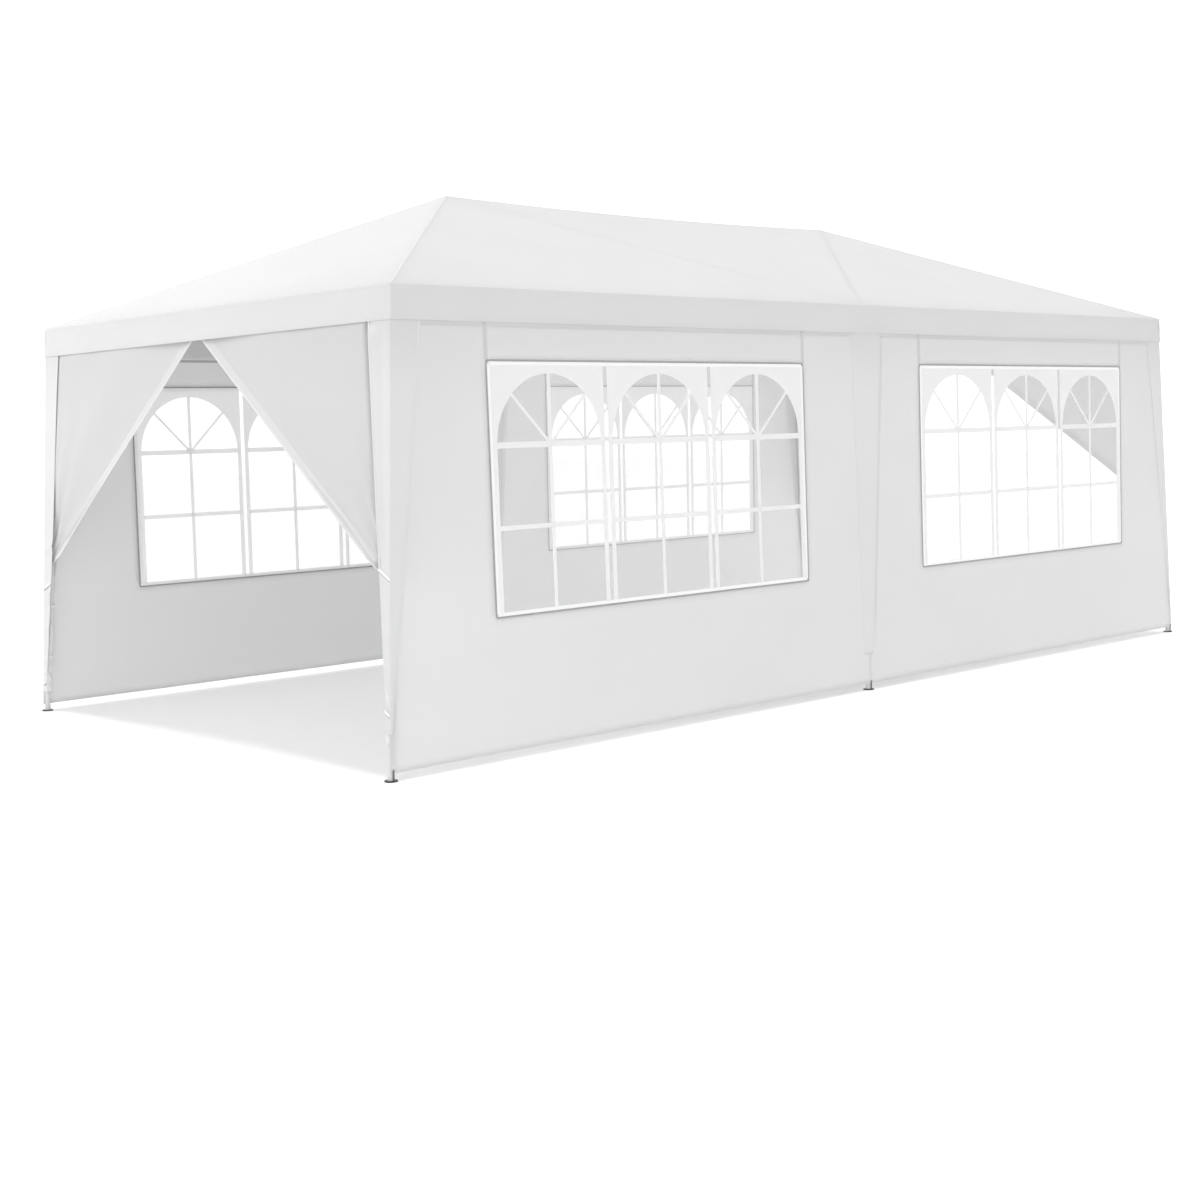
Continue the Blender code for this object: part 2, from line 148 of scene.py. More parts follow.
def leg_y(z):
    return EAVE_Y + SPLAY_Y * (EAVE_Z - z)


def on_side(side, along, z, layer):
    """A point on a leaning side of the tent, at a distance outside the plane of the tubes."""
    if side in ENDS:
        return Vector((ENDS[side] * (leg_x(z) + layer * END_STRETCH), along, z))
    return Vector((along, LONGS[side] * (leg_y(z) + layer * LONG_STRETCH), z))


def facing(side):
    """The outward direction of a leaning side."""
    if side in ENDS:
        return Vector((ENDS[side], 0, SPLAY_X)).normalized()
    return Vector((0, LONGS[side], SPLAY_Y)).normalized()


# Finishes


class Nodes:
    """A shader tree under construction, with short calls for its nodes."""

    def __init__(self, tree):
        self.nodes = tree.nodes
        self.links = tree.links

    def add(self, kind, **settings):
        node = self.nodes.new(kind)
        for name, value in settings.items():
            setattr(node, name, value)
        return node

    def join(self, source, target):
        self.links.new(source, target)

    def give(self, value, socket):
        """Sets a number or a colour on a socket, or joins a pattern to it."""
        if isinstance(value, (int, float)):
            socket.default_value = value
        elif isinstance(value, tuple):
            socket.default_value = (*value, 1)
        else:
            self.join(value, socket)

    def math(self, operation, *values):
        node = self.add("ShaderNodeMath", operation=operation)
        for value, socket in zip(values, node.inputs):
            self.give(value, socket)
        return node.outputs[0]

    def parts(self, where):
        """The X, Y and Z of a place."""
        node = self.add("ShaderNodeSeparateXYZ")
        self.join(where, node.inputs[0])
        return node.outputs

    def noise(self, where, scale, detail=2.0, roughness=0.5):
        node = self.add("ShaderNodeTexNoise")
        values = {"Vector": where, "Scale": scale, "Detail": detail, "Roughness": roughness}
        for name, value in values.items():
            self.give(value, node.inputs[name])
        return node.outputs["Fac"]

    def ramp(self, value, low, high, start=0.3, end=0.7):
        """Maps a value between start and end, where most of a noise lies, to one between low and high."""
        node = self.add("ShaderNodeMapRange")
        self.join(value, node.inputs["Value"])
        for name, number in (("From Min", start), ("From Max", end), ("To Min", low), ("To Max", high)):
            node.inputs[name].default_value = number
        return node.outputs["Result"]

    def blend(self, share, first, second):
        node = self.add("ShaderNodeMix", data_type="RGBA")
        for value, socket in ((share, node.inputs[0]), (first, node.inputs[6]), (second, node.inputs[7])):
            self.give(value, socket)
        return node.outputs[2]

    def mix(self, share, first, second):
        """Two shaders, mixed."""
        node = self.add("ShaderNodeMixShader")
        for value, socket in zip((share, first.outputs[0], second.outputs[0]), node.inputs):
            self.give(value, socket)
        return node.outputs[0]


class Finish(Nodes):
    """A procedural material under construction."""

    def __init__(self, name):
        self.material = bpy.data.materials.new(name)
        self.material.use_nodes = True
        super().__init__(self.material.node_tree)
        self.surface = self.nodes["Principled BSDF"]
        self.output = self.nodes["Material Output"].inputs["Surface"]

    def place(self, cloth_map=False):
        """Where the pattern lies: on the piece's own cut, or in space."""
        if cloth_map:
            return self.add("ShaderNodeUVMap", uv_map="cut").outputs["UV"]
        return self.add("ShaderNodeTexCoord").outputs["Object"]

    def bump(self, height, distance, before=None):
        node = self.add("ShaderNodeBump")
        node.inputs["Distance"].default_value = distance
        node.inputs["Strength"].default_value = 1.0
        self.join(height, node.inputs["Height"])
        if before is not None:
            self.join(before, node.inputs["Normal"])
        return node.outputs["Normal"]

    def weave(self, where, pitch):
        """Height of a plain weave of flat tapes."""
        turn = 2 * math.pi / pitch
        waves = [self.math("SINE", self.math("MULTIPLY", part, turn)) for part in self.parts(where)[:2]]
        return self.math("MULTIPLY", *waves)

    def set(self, **values):
        """Gives the surface's own sockets their constants and patterns."""
        for name, value in values.items():
            socket = self.surface.inputs[name.replace("_", " ").title().replace("Ior", "IOR")]
            self.give(value, socket)

    def let_light_through(self, share, colour, normal=None):
        """Mixes in the light that comes through thin white cloth."""
        through = self.add("ShaderNodeBsdfTranslucent")
        self.give(colour, through.inputs["Color"])
        if normal is not None:
            self.join(normal, through.inputs["Normal"])
        self.join(self.mix(share, self.surface, through), self.output)


def grey(value):
    return (value, value, value)


def dimmed(colour, share):
    return tuple(share * c for c in colour)


# The cloth's weave, and the heights over which the cloth is painted darker towards the valance: painted shade
TARPAULIN_PITCH = 0.0026
VALANCE_SHADE_FADE = (1.56, 1.86)


def tarpaulin(name, clean, worn, translucency, crumple, painted_valance_shade=1.0):
    """White coated cloth woven from flat tapes, with soft handling creases.

    A share below 1 paints the band under the valance darker towards its top: painted shade from the valance.
    """
    finish = Finish(name)
    cut = finish.place(cloth_map=True)
    broad = finish.noise(cut, 1.7, 3.0)
    crease = finish.noise(cut, 9.0, 4.0, 0.55)
    grain = finish.noise(cut, 160.0)
    tapes = finish.weave(cut, TARPAULIN_PITCH)
    colour = finish.blend(finish.ramp(broad, 0.0, 1.0, 0.35, 0.70), clean, worn)
    colour = finish.blend(finish.ramp(tapes, 0.0, 0.06, -1.0, 1.0), colour, (0.70, 0.71, 0.72))
    # Painted shade: the band under the valance is darkened as if the valance shaded it
    if painted_valance_shade < 1.0:
        band = finish.ramp(finish.parts(cut)[1], 0.0, 1.0, *VALANCE_SHADE_FADE)
        colour = finish.blend(band, colour, dimmed(clean, painted_valance_shade))
    shine = finish.math("ADD", finish.ramp(crease, 0.50, 0.66), finish.ramp(grain, -0.04, 0.04))
    relief = finish.bump(tapes, 0.00005, finish.bump(crease, crumple))
    finish.set(base_color=colour, roughness=shine, normal=relief, specular_ior_level=0.35)
    finish.let_light_through(translucency, grey(0.95), relief)
    return finish.material


def webbing(name, colour, pitch):
    """Ribbed tape for hems, ties and zip edges."""
    finish = Finish(name)
    cut = finish.place(cloth_map=True)
    ribs = finish.weave(cut, pitch)
    fuzz = finish.noise(cut, 300.0, 3.0)
    # The low parts between the ribs are painted darker: painted shade in the grooves
    shade = finish.blend(finish.ramp(ribs, 0.0, 0.35, 1.0, -1.0), colour, dimmed(colour, 0.86))
    finish.set(base_color=shade, roughness=finish.ramp(fuzz, 0.62, 0.82), normal=finish.bump(ribs, 0.00012))
    return finish.material


def clear_film():
    """Thin window film: nearly clear, with a milky touch, faint waves and a gloss."""
    finish = Finish("window_film")
    cut = finish.place(cloth_map=True)
    waves = finish.noise(cut, 3.5)
    haze = finish.noise(cut, 14.0, 4.0, 0.6)
    finish.set(base_color=grey(0.99), roughness=finish.ramp(haze, 0.12, 0.18, 0.35, 0.65),
               normal=finish.bump(waves, 0.004), specular_ior_level=0.5)
    clear = finish.add("ShaderNodeBsdfTransparent")
    finish.give(grey(0.995), clear.inputs["Color"])
    finish.join(finish.mix(finish.ramp(haze, 0.165, 0.185), clear, finish.surface), finish.output)
    return finish.material


def glazing_ink():
    """White ink of the printed arches and bars."""
    finish = Finish("glazing_ink")
    cut = finish.place(cloth_map=True)
    screen = finish.noise(cut, 420.0)
    patches = finish.noise(cut, 6.0, 3.0)
    shade = finish.blend(finish.ramp(patches, 0.0, 0.5, 0.4, 0.7), grey(0.995), (0.975, 0.976, 0.978))
    finish.set(base_color=shade, roughness=finish.ramp(screen, 0.40, 0.52),
               normal=finish.bump(screen, 0.00004))
    finish.let_light_through(0.45, grey(1.0))
    return finish.material


def moulded(name, colour, roughness, metallic=0.0):
    """Small moulded or drawn trim: thread, zip teeth, piping and buttons."""
    finish = Finish(name)
    where = finish.place()
    grain = finish.noise(where, 900.0)
    cloud = finish.noise(where, 40.0)
    shade = finish.blend(finish.ramp(cloud, 0.0, 0.6, 0.4, 0.65), colour, dimmed(colour, 0.85))
    finish.set(base_color=shade, roughness=finish.ramp(grain, roughness - 0.06, roughness + 0.08),
               normal=finish.bump(grain, 0.00004), metallic=metallic)
    return finish.material


def painted_tube():
    """Pale grey enamelled steel tube, with a dark zinc foot plate and faint rubs."""
    finish = Finish("enamelled_steel")
    where = finish.place()
    orange_peel = finish.noise(where, 420.0)
    cloud = finish.noise(where, 5.0, 3.0)
    rubs = finish.ramp(finish.noise(where, 55.0, 5.0, 0.65), 0.0, 1.0, 0.62, 0.70)
    plate = finish.ramp(finish.parts(where)["Z"], 1.0, 0.0, FOOT_PLATE + 0.0002, FOOT_PLATE + 0.0010)
    paint = finish.blend(finish.ramp(cloud, 0.0, 1.0, 0.35, 0.65), (0.72, 0.725, 0.73), (0.67, 0.675, 0.68))
    paint = finish.blend(finish.math("MULTIPLY", rubs, 0.5), paint, (0.38, 0.38, 0.39))
    shine = finish.math("ADD", finish.ramp(orange_peel, 0.30, 0.36), finish.math("MULTIPLY", rubs, 0.15))
    finish.set(base_color=finish.blend(plate, paint, (0.030, 0.031, 0.033)), roughness=shine,
               normal=finish.bump(orange_peel, 0.00006), metallic=0.15)
    return finish.material


def zinc_plate():
    """Zinc-plated connectors: a soft spangle and darker handling marks."""
    finish = Finish("zinc_connector")
    where = finish.place()
    spangle = finish.add("ShaderNodeTexVoronoi")
    spangle.inputs["Scale"].default_value = 260.0
    finish.join(where, spangle.inputs["Vector"])
    shade = finish.add("ShaderNodeSeparateColor")
    finish.join(spangle.outputs["Color"], shade.inputs[0])
    marks = finish.noise(where, 30.0, 4.0, 0.6)
    colour = (0.62, 0.63, 0.64)
    base = finish.blend(shade.outputs[0], colour, dimmed(colour, 0.86))
    base = finish.blend(finish.ramp(marks, 0.0, 0.5, 0.55, 0.72), base, dimmed(colour, 0.55))
    finish.set(base_color=base, roughness=finish.ramp(marks, 0.34, 0.50),
               normal=finish.bump(shade.outputs[1], 0.00003), metallic=0.85)
    return finish.material


# Walls, curtains and skirts take a share below 1, which paints shade under the valance
ROOF_CLOTH = tarpaulin("roof_tarpaulin", grey(0.892), (0.869, 0.871, 0.874), 0.36, 0.0012)
SEAM_CLOTH = tarpaulin("seam_tarpaulin", grey(0.92), grey(0.905), 0.10, 0.0006)
WALL_CLOTH = tarpaulin("wall_tarpaulin", grey(0.86), (0.837, 0.839, 0.842), 0.33, 0.0010, painted_valance_shade=0.93)
HEM_CLOTH = tarpaulin("hem_tarpaulin", grey(0.90), grey(0.88), 0.38, 0.0006)
# The curtains are the walls' cloth painted darker: painted shade for the flaps that hang under the valance
SHADED_CURTAIN_CLOTH = tarpaulin("curtain_tarpaulin_painted_shade", grey(0.735), (0.715, 0.717, 0.72), 0.29, 0.0010, painted_valance_shade=0.97)
SKIRT_CLOTH = tarpaulin("skirt_tarpaulin", grey(0.815), (0.793, 0.795, 0.798), 0.14, 0.0010, painted_valance_shade=0.90)
ROLL_CLOTH = tarpaulin("rolled_tarpaulin", grey(0.87), (0.845, 0.847, 0.85), 0.10, 0.0008)
# The band on the front flaps is painted darker with them: painted shade
SHADED_BAND_TAPE = webbing("band_tape_painted_shade", grey(0.705), 0.0016)
WELT_TAPE = webbing("welt_tape", grey(0.98), 0.0012)
TIE_TAPE = webbing("tie_tape", (0.83, 0.83, 0.82), 0.0020)
WINDOW_FILM = clear_film()
INK = glazing_ink()
THREAD = moulded("sewing_thread", (0.84, 0.84, 0.835), 0.6)
ZIP_NYLON = moulded("zip_nylon", grey(0.86), 0.42)
PIPING_GREY = moulded("grey_piping", (0.36, 0.36, 0.37), 0.55)
# Grey tape on the walls' inside, also used for the dark band under the gather straps, which is a painted
# shadow
GREY_TAPE_AND_SHADOW = webbing("grey_tape_and_painted_shadow", grey(0.46), 0.0016)
# The seams over the windows are painted grey: painted shade standing in for the dip along each sewn seam
SHADED_SEAM_GREY = webbing("felled_seam_painted_shade", grey(0.60), 0.0016)
TAB_STEEL = moulded("foot_tab_steel", (0.16, 0.162, 0.165), 0.42, 0.5)
BUTTON_STEEL = moulded("button_steel", grey(0.60), 0.25, 1.0)
TUBE_STEEL = painted_tube()
HUB_STEEL = zinc_plate()


# Pieces


def mesh_of(bm, name):
    """Turns a finished bmesh into a mesh."""
    mesh = bpy.data.meshes.new(name)
    bm.to_mesh(mesh)
    bm.free()
    return mesh


def new_object(name, mesh, finish):
    mesh.materials.clear()
    mesh.materials.append(finish)
    piece = bpy.data.objects.new(name, mesh)
    bpy.context.scene.collection.objects.link(piece)
    return piece


def settle(piece, nodes=()):
    """Hangs a finished piece on the tent."""
    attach(piece, "root")
    if nodes:
        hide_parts(*nodes)


def settle_all(pieces):
    for piece in pieces:
        settle(piece)


def plain_mesh(piece):
    """Turns a piece and its modifiers into a plain mesh."""
    bpy.context.view_layer.update()
    graph = bpy.context.evaluated_depsgraph_get()
    mesh = bpy.data.meshes.new_from_object(piece.evaluated_get(graph))
    piece.modifiers.clear()
    old = piece.data
    piece.data = mesh
    bpy.data.meshes.remove(old)
    mesh.name = piece.name
    return piece


def thicken(piece, thickness):
    """Gives a sheet its thickness, half to each side."""
    shell = piece.modifiers.new("thickness", "SOLIDIFY")
    shell.thickness = thickness
    shell.offset = 0
    shell.use_even_offset = False
    return plain_mesh(piece)


def lay_cut(face, layer, places):
    """Writes where a face's corners lie on the flat cut."""
    for loop, place in zip(face.loops, places):
        loop[layer].uv = place


def sheet(name, columns, rows, place, outward, finish, thickness=CLOTH, keep=None, cut=None):
    """A cloth sheet on a grid.

    place(column, row) gives a point, cut(column, row) where it lies on the flat cut, and keep the cells
    that are cloth.
    """
    bm = bmesh.new()
    points = [[bm.verts.new(place(u, v)) for v in rows] for u in columns]
    cut_layer = bm.loops.layers.uv.new("cut")
    flip = None
    for i in range(len(columns) - 1):
        for j in range(len(rows) - 1):
            if keep and not keep((columns[i] + columns[i + 1]) / 2, (rows[j] + rows[j + 1]) / 2):
                continue
            steps = [(i, j), (i + 1, j), (i + 1, j + 1), (i, j + 1)]
            if flip is None:
                corners = [points[a][b].co for a, b in steps[:3]]
                flip = (corners[1] - corners[0]).cross(corners[2] - corners[1]).dot(outward) < 0
            if flip:
                steps.reverse()
            face = bm.faces.new([points[a][b] for a, b in steps])
            face.smooth = True
            spots = [(columns[a], rows[b]) for a, b in steps]
            lay_cut(face, cut_layer, [cut(*spot) for spot in spots] if cut else spots)
    bmesh.ops.delete(bm, geom=[v for v in bm.verts if not v.link_faces], context="VERTS")
    return thicken(new_object(name, mesh_of(bm, name), finish), thickness)


class Strips:
    """Flat tapes gathered into one mesh.

    They follow a surface, where at(u, v, lift) is a point of it. With no surface, a place is the point.
    """

    def __init__(self, at=lambda *place: place):
        self.at = at
        self.bm = bmesh.new()
        self.cut = self.bm.loops.layers.uv.new("cut")

    def ring(self, places):
        return [self.bm.verts.new(self.at(*place)) for place in places]

    def tape(self, route, width, low, high):
        """A tape along a route of (u, v) places, from one lift off the surface to another."""
        rings = []
        for i, (u, v) in enumerate(route):
            before, after = route[max(0, i - 1)], route[min(i + 1, len(route) - 1)]
            du, dv = after[0] - before[0], after[1] - before[1]
            size = math.hypot(du, dv) or 1.0
            across, along = -dv / size * width / 2, du / size * width / 2
            rings.append(self.ring([(u - across, v - along, low), (u + across, v + along, low),
                                    (u + across, v + along, high), (u - across, v - along, high)]))
        self.loft(rings, (0, width, width, 0))

    def loft(self, rings, widths, closed=False):
        """Faces from ring to ring. widths says where each corner of the section lies across the cut."""
        pairs = list(zip(rings, rings[1:])) + ([(rings[-1], rings[0])] if closed else [])
        run = 0.0
        for first, second in pairs:
            step = (second[0].co - first[0].co).length
            for i in range(len(first)):
                k = (i + 1) % len(first)
                face = self.bm.faces.new((first[i], first[k], second[k], second[i]))
                lay_cut(face, self.cut, ((run, widths[i]), (run, widths[k]),
                                         (run + step, widths[k]), (run + step, widths[i])))
            run += step
        if not closed:
            self.bm.faces.new(list(reversed(rings[0])))
            self.bm.faces.new(rings[-1])

    def piece(self, name, finish):
        bmesh.ops.recalc_face_normals(self.bm, faces=self.bm.faces)
        return new_object(name, mesh_of(self.bm, name), finish)


def taped(name, at, finish, tapes):
    """A piece of tapes on a surface, from their routes and sizes."""
    strips = Strips(at)
    for route, size in tapes:
        strips.tape(route, *size)
    return strips.piece(name, finish)


def placing_tree(name, sizes):
    """Geometry nodes that set a shape on points: the tree, its given values and the node that does it."""
    tree = bpy.data.node_groups.new(name, "GeometryNodeTree")
    face = tree.interface
    face.new_socket("Geometry", in_out="INPUT", socket_type="NodeSocketGeometry")
    for label in sizes:
        face.new_socket(label, in_out="INPUT", socket_type="NodeSocketFloat")
    face.new_socket("Finish", in_out="INPUT", socket_type="NodeSocketMaterial")
    face.new_socket("Geometry", in_out="OUTPUT", socket_type="NodeSocketGeometry")
    given = tree.nodes.new("NodeGroupInput").outputs
    placed = tree.nodes.new("GeometryNodeInstanceOnPoints")
    real = tree.nodes.new("GeometryNodeRealizeInstances")
    finish = tree.nodes.new("GeometryNodeSetMaterial")
    made = tree.nodes.new("NodeGroupOutput")
    tree.links.new(placed.outputs[0], real.inputs[0])
    tree.links.new(real.outputs[0], finish.inputs["Geometry"])
    tree.links.new(given["Finish"], finish.inputs["Material"])
    tree.links.new(finish.outputs[0], made.inputs[0])
    return tree, given, placed


def stored_direction(tree):
    """The direction that is stored with each point."""
    node = tree.nodes.new("GeometryNodeInputNamedAttribute")
    node.data_type = "FLOAT_VECTOR"
    node.inputs["Name"].default_value = "direction"
    return node.outputs["Attribute"]


def row_tree(name, rounded):
    """Geometry nodes that set one small shape after another along a path, such as stitches or zip teeth."""
    tree, given, placed = placing_tree(name, ("Spacing", "Length", "Width", "Height"))
    nodes, links = tree.nodes, tree.links
    path = nodes.new("GeometryNodeMeshToCurve")
    spaced = nodes.new("GeometryNodeResampleCurve")
    spaced.mode = "LENGTH"
    shape = nodes.new("GeometryNodeMeshIcoSphere" if rounded else "GeometryNodeMeshCube")
    if rounded:
        shape.inputs["Radius"].default_value = 0.5
        shape.inputs["Subdivisions"].default_value = 1
    size = nodes.new("ShaderNodeCombineXYZ")
    tangent = nodes.new("GeometryNodeInputTangent")
    turn = nodes.new("FunctionNodeAxesToRotation")
    turn.primary_axis, turn.secondary_axis = "X", "Z"
    links.new(given["Geometry"], path.inputs[0])
    links.new(path.outputs[0], spaced.inputs["Curve"])
    links.new(given["Spacing"], spaced.inputs["Length"])
    for axis, label in enumerate(("Length", "Width", "Height")):
        links.new(given[label], size.inputs[axis])
    links.new(tangent.outputs[0], turn.inputs[0])
    links.new(stored_direction(tree), turn.inputs[1])
    links.new(spaced.outputs["Curve"], placed.inputs["Points"])
    links.new(shape.outputs["Mesh"], placed.inputs["Instance"])
    links.new(turn.outputs[0], placed.inputs["Rotation"])
    links.new(size.outputs[0], placed.inputs["Scale"])
    return tree


def bead_tree():
    """Geometry nodes that put a rolled bead round a tube at each point."""
    tree, given, placed = placing_tree("tube_beads", ("Tube radius", "Bead radius"))
    nodes, links = tree.nodes, tree.links
    circle = nodes.new("GeometryNodeCurvePrimitiveCircle")
    circle.inputs["Resolution"].default_value = 20
    profile = nodes.new("GeometryNodeCurvePrimitiveCircle")
    profile.inputs["Resolution"].default_value = 6
    bead = nodes.new("GeometryNodeCurveToMesh")
    places = nodes.new("GeometryNodeMeshToPoints")
    turn = nodes.new("FunctionNodeAlignRotationToVector")
    turn.axis = "Z"
    links.new(given["Tube radius"], circle.inputs["Radius"])
    links.new(given["Bead radius"], profile.inputs["Radius"])
    links.new(circle.outputs["Curve"], bead.inputs["Curve"])
    links.new(profile.outputs["Curve"], bead.inputs["Profile Curve"])
    links.new(given["Geometry"], places.inputs[0])
    links.new(stored_direction(tree), turn.inputs["Vector"])
    links.new(places.outputs[0], placed.inputs["Points"])
    links.new(bead.outputs[0], placed.inputs["Instance"])
    links.new(turn.outputs[0], placed.inputs["Rotation"])
    return tree


STITCHES = row_tree("stitch_rows", rounded=True)
TEETH = row_tree("zip_teeth", rounded=False)
BEADS = bead_tree()
STITCH_SIZES = {"Spacing": 0.0105, "Length": 0.0079, "Width": 0.0011, "Height": 0.0009}
TOOTH_SIZES = {"Spacing": 0.0030, "Length": 0.0016, "Width": 0.0050, "Height": 0.0020}
BEAD_SIZES = {"Tube radius": TUBE_RADIUS + 0.0001, "Bead radius": 0.0009}


def placed_piece(name, tree, sizes, finish, points, directions, edges=()):
    """A tree's shapes at points, each with a stored direction, as a plain mesh."""
    mesh = bpy.data.meshes.new(name)
    mesh.from_pydata(points, edges, [])
    stored = mesh.attributes.new("direction", "FLOAT_VECTOR", "POINT")
    stored.data.foreach_set("vector", np.array(directions, np.float32).ravel())
    piece = new_object(name, mesh, finish)
    shapes = piece.modifiers.new("shapes", "NODES")
    shapes.node_group = tree
    values = {**sizes, "Finish": finish}
    for socket in tree.interface.items_tree:
        if socket.in_out == "INPUT" and socket.name in values:
            shapes[socket.identifier] = values[socket.name]
    return plain_mesh(piece)


def row_piece(name, tree, sizes, finish, routes):
    """A row of small shapes along each route, a list of (point, outward direction)."""
    points, directions, edges = [], [], []
    for route in routes:
        start = len(points)
        points.extend(point for point, _ in route)
        directions.extend(direction for _, direction in route)
        edges.extend((start + i, start + i + 1) for i in range(len(route) - 1))
    return placed_piece(name, tree, sizes, finish, points, directions, edges)


def stitches(name, routes):
    return row_piece(name, STITCHES, STITCH_SIZES, THREAD, routes)


def laid(at, route, lift, out):
    """A route on a surface as (point, outward direction), for a row."""
    return [(at(u, v, lift), out) for u, v in route]


# Roof cover


def roof_height(x, y):
    """The cloth's middle over the frame.

    It has flat slopes, a fan to the bowed ridge, and a little slack between the rafters.
    """
    x, y = abs(x), abs(y)
    run = min(EAVE_X - x, EAVE_Y - y)
    height = EAVE_Z + ROOF_RISE * run
    share = (EAVE_Y - y) / EAVE_Y
    if share > 0 and x < PEAK_X * share:
        dip = RIDGE_DIP * (1 - (x / share / PEAK_X) ** 2)
        height = EAVE_Z + share * (PEAK_Z - dip - EAVE_Z)
    return height + ROOF_LAYER * ROOF_STRETCH - slack(x, y)


def slack(x, y):
    """How far the cloth sinks between tubes. Each triangle of tubes is deepest in its middle."""
    if EAVE_X - x < EAVE_Y - y:
        weights = barycentric(x, y, (EAVE_X, EAVE_Y), (EAVE_X, -EAVE_Y), (PEAK_X, 0))
    elif x < PEAK_X * (EAVE_Y - y) / EAVE_Y:
        weights = barycentric(x, y, (0, EAVE_Y), (-PEAK_X, 0), (PEAK_X, 0))
    else:
        weights = barycentric(x, y, (0, EAVE_Y), (EAVE_X, EAVE_Y), (PEAK_X, 0))
    a, b, c = (max(0.0, w) for w in weights)
    return ROOF_SLACK * 27 * a * b * c


def barycentric(x, y, p, q, r):
    """The weights of a triangle's corners at a place. Their product is 1/27 in its middle."""
    whole = (q[1] - r[1]) * (p[0] - r[0]) + (r[0] - q[0]) * (p[1] - r[1])
    a = ((q[1] - r[1]) * (x - r[0]) + (r[0] - q[0]) * (y - r[1])) / whole
    b = ((r[1] - p[1]) * (x - r[0]) + (p[0] - r[0]) * (y - r[1])) / whole
    return a, b, 1 - a - b


VALANCE_SWING = 0.0035
VALANCE_SEEDS = {"front": 0.3, "back": 2.1, "right": 4.2, "left": 6.4}


def valance_wave(side, along, z):
    """The valance's lower edge swings out a little between its corners."""
    half = COVER_HALF_WIDTH if side in ENDS else COVER_HALF_LENGTH
    free = max(0.0, math.cos(math.pi / 2 * min(1.0, abs(along) / half))) ** 0.5
    down = smooth_step(EAVE_EDGE_HEIGHT, VALANCE_BOTTOM - 0.02, z)
    seed = VALANCE_SEEDS[side]
    swing = 0.5 + 0.5 * math.sin(along * 5.2 + seed) + 0.4 * noise.noise(Vector((along * 2.3, seed, 0.5)))
    return VALANCE_SWING * free * down * max(0.0, swing)


def valance_point(side, along, z, lift=0.0):
    return on_side(side, along, z, VALANCE_LAYER + valance_wave(side, along, z) + lift)


def corner_reach(side, z):
    """How far the valance runs from the tent's middle to its corner."""
    if side in ENDS:
        return leg_y(z) + VALANCE_LAYER * LONG_STRETCH
    return leg_x(z) + VALANCE_LAYER * END_STRETCH


# Steps down a slope, and along a slope at a short end and at a long side
SLOPE_STEPS, END_STEPS, LONG_STEPS = 30, 60, 120


def roof_rows(side):
    """A slope of the cover and the valance under it, as rows of (point, place on the flat cut)."""
    sign = {**ENDS, **LONGS}[side]
    steps = END_STEPS if side in ENDS else LONG_STEPS
    shares = [mixed(-1, 1, i / steps) for i in range(steps + 1)]
    slope_length = COVER_HALF_WIDTH * ROOF_STRETCH
    rows = []
    for i in range(SLOPE_STEPS + 1):
        down = i / SLOPE_STEPS
        run = COVER_HALF_WIDTH * down
        half = run if side in ENDS else PEAK_X + run
        row = []
        for share in shares:
            x, y = (sign * (PEAK_X + run), share * half) if side in ENDS else (share * half, sign * run)
            row.append((Vector((x, y, roof_height(x, y))), (share * half, down * slope_length)))
        rows.append(row)
    for z in spread(EAVE_EDGE_HEIGHT - 0.006, VALANCE_BOTTOM, 0.023):
        half = corner_reach(side, z)
        fall = slope_length + EAVE_EDGE_HEIGHT - z
        rows.append([(valance_point(side, share * half, z), (share * half, fall)) for share in shares])
    return rows


def roof_cover():
    """The whole cover as one sewn sheet: two long slopes, two hips and the valance."""
    bm = bmesh.new()
    cut_layer = bm.loops.layers.uv.new("cut")
    made = {}

    def vertex(point):
        """One vertex for each place, so that the slopes are joined at the hips."""
        key = tuple(round(c, 5) for c in point)
        if key not in made:
            made[key] = bm.verts.new(point)
        return made[key]

    for side in SIDES:
        outward = Vector((ENDS.get(side, 0), LONGS.get(side, 0), 1))
        rows = roof_rows(side)
        for upper, lower in zip(rows, rows[1:]):
            for i in range(len(upper) - 1):
                corners = {}
                for point, place in (upper[i], lower[i], lower[i + 1], upper[i + 1]):
                    corners.setdefault(vertex(point), place)
                if len(corners) < 3:
                    continue
                verts = list(corners)
                normal = (verts[1].co - verts[0].co).cross(verts[2].co - verts[1].co)
                if normal.dot(outward) < 0:
                    verts.reverse()
                face = bm.faces.new(verts)
                face.smooth = True
                lay_cut(face, cut_layer, [corners[v] for v in verts])
    mesh = mesh_of(bm, "roof_cover")
    mesh.set_sharp_from_angle(angle=math.radians(14))
    return thicken(new_object("roof_cover", mesh, ROOF_CLOTH), CLOTH)


def roof_point(x, y, lift=0.0):
    return Vector((x, y, roof_height(x, y))) + UP * lift * ROOF_STRETCH


def hip_routes():
    """The four hips and the ridge, as plan places from the peak down and from peak to peak."""
    runs = spread(0.02, COVER_HALF_WIDTH - 0.006, 0.05)
    hips = [[(end * (PEAK_X + r), side * r) for r in runs]
            for end in ENDS.values() for side in LONGS.values()]
    ridge = [(x, 0.0) for x in spread(-PEAK_X, PEAK_X, 0.05)]
    return hips, ridge


# The felled seams' half width and faces, and the valance hem's faces, off the cloth's middle
SEAM_HALF = 0.006
SEAM_UNDER, SEAM_TOP = -0.0009, 0.0012
VALANCE_HEM_LIFT = 0.0009


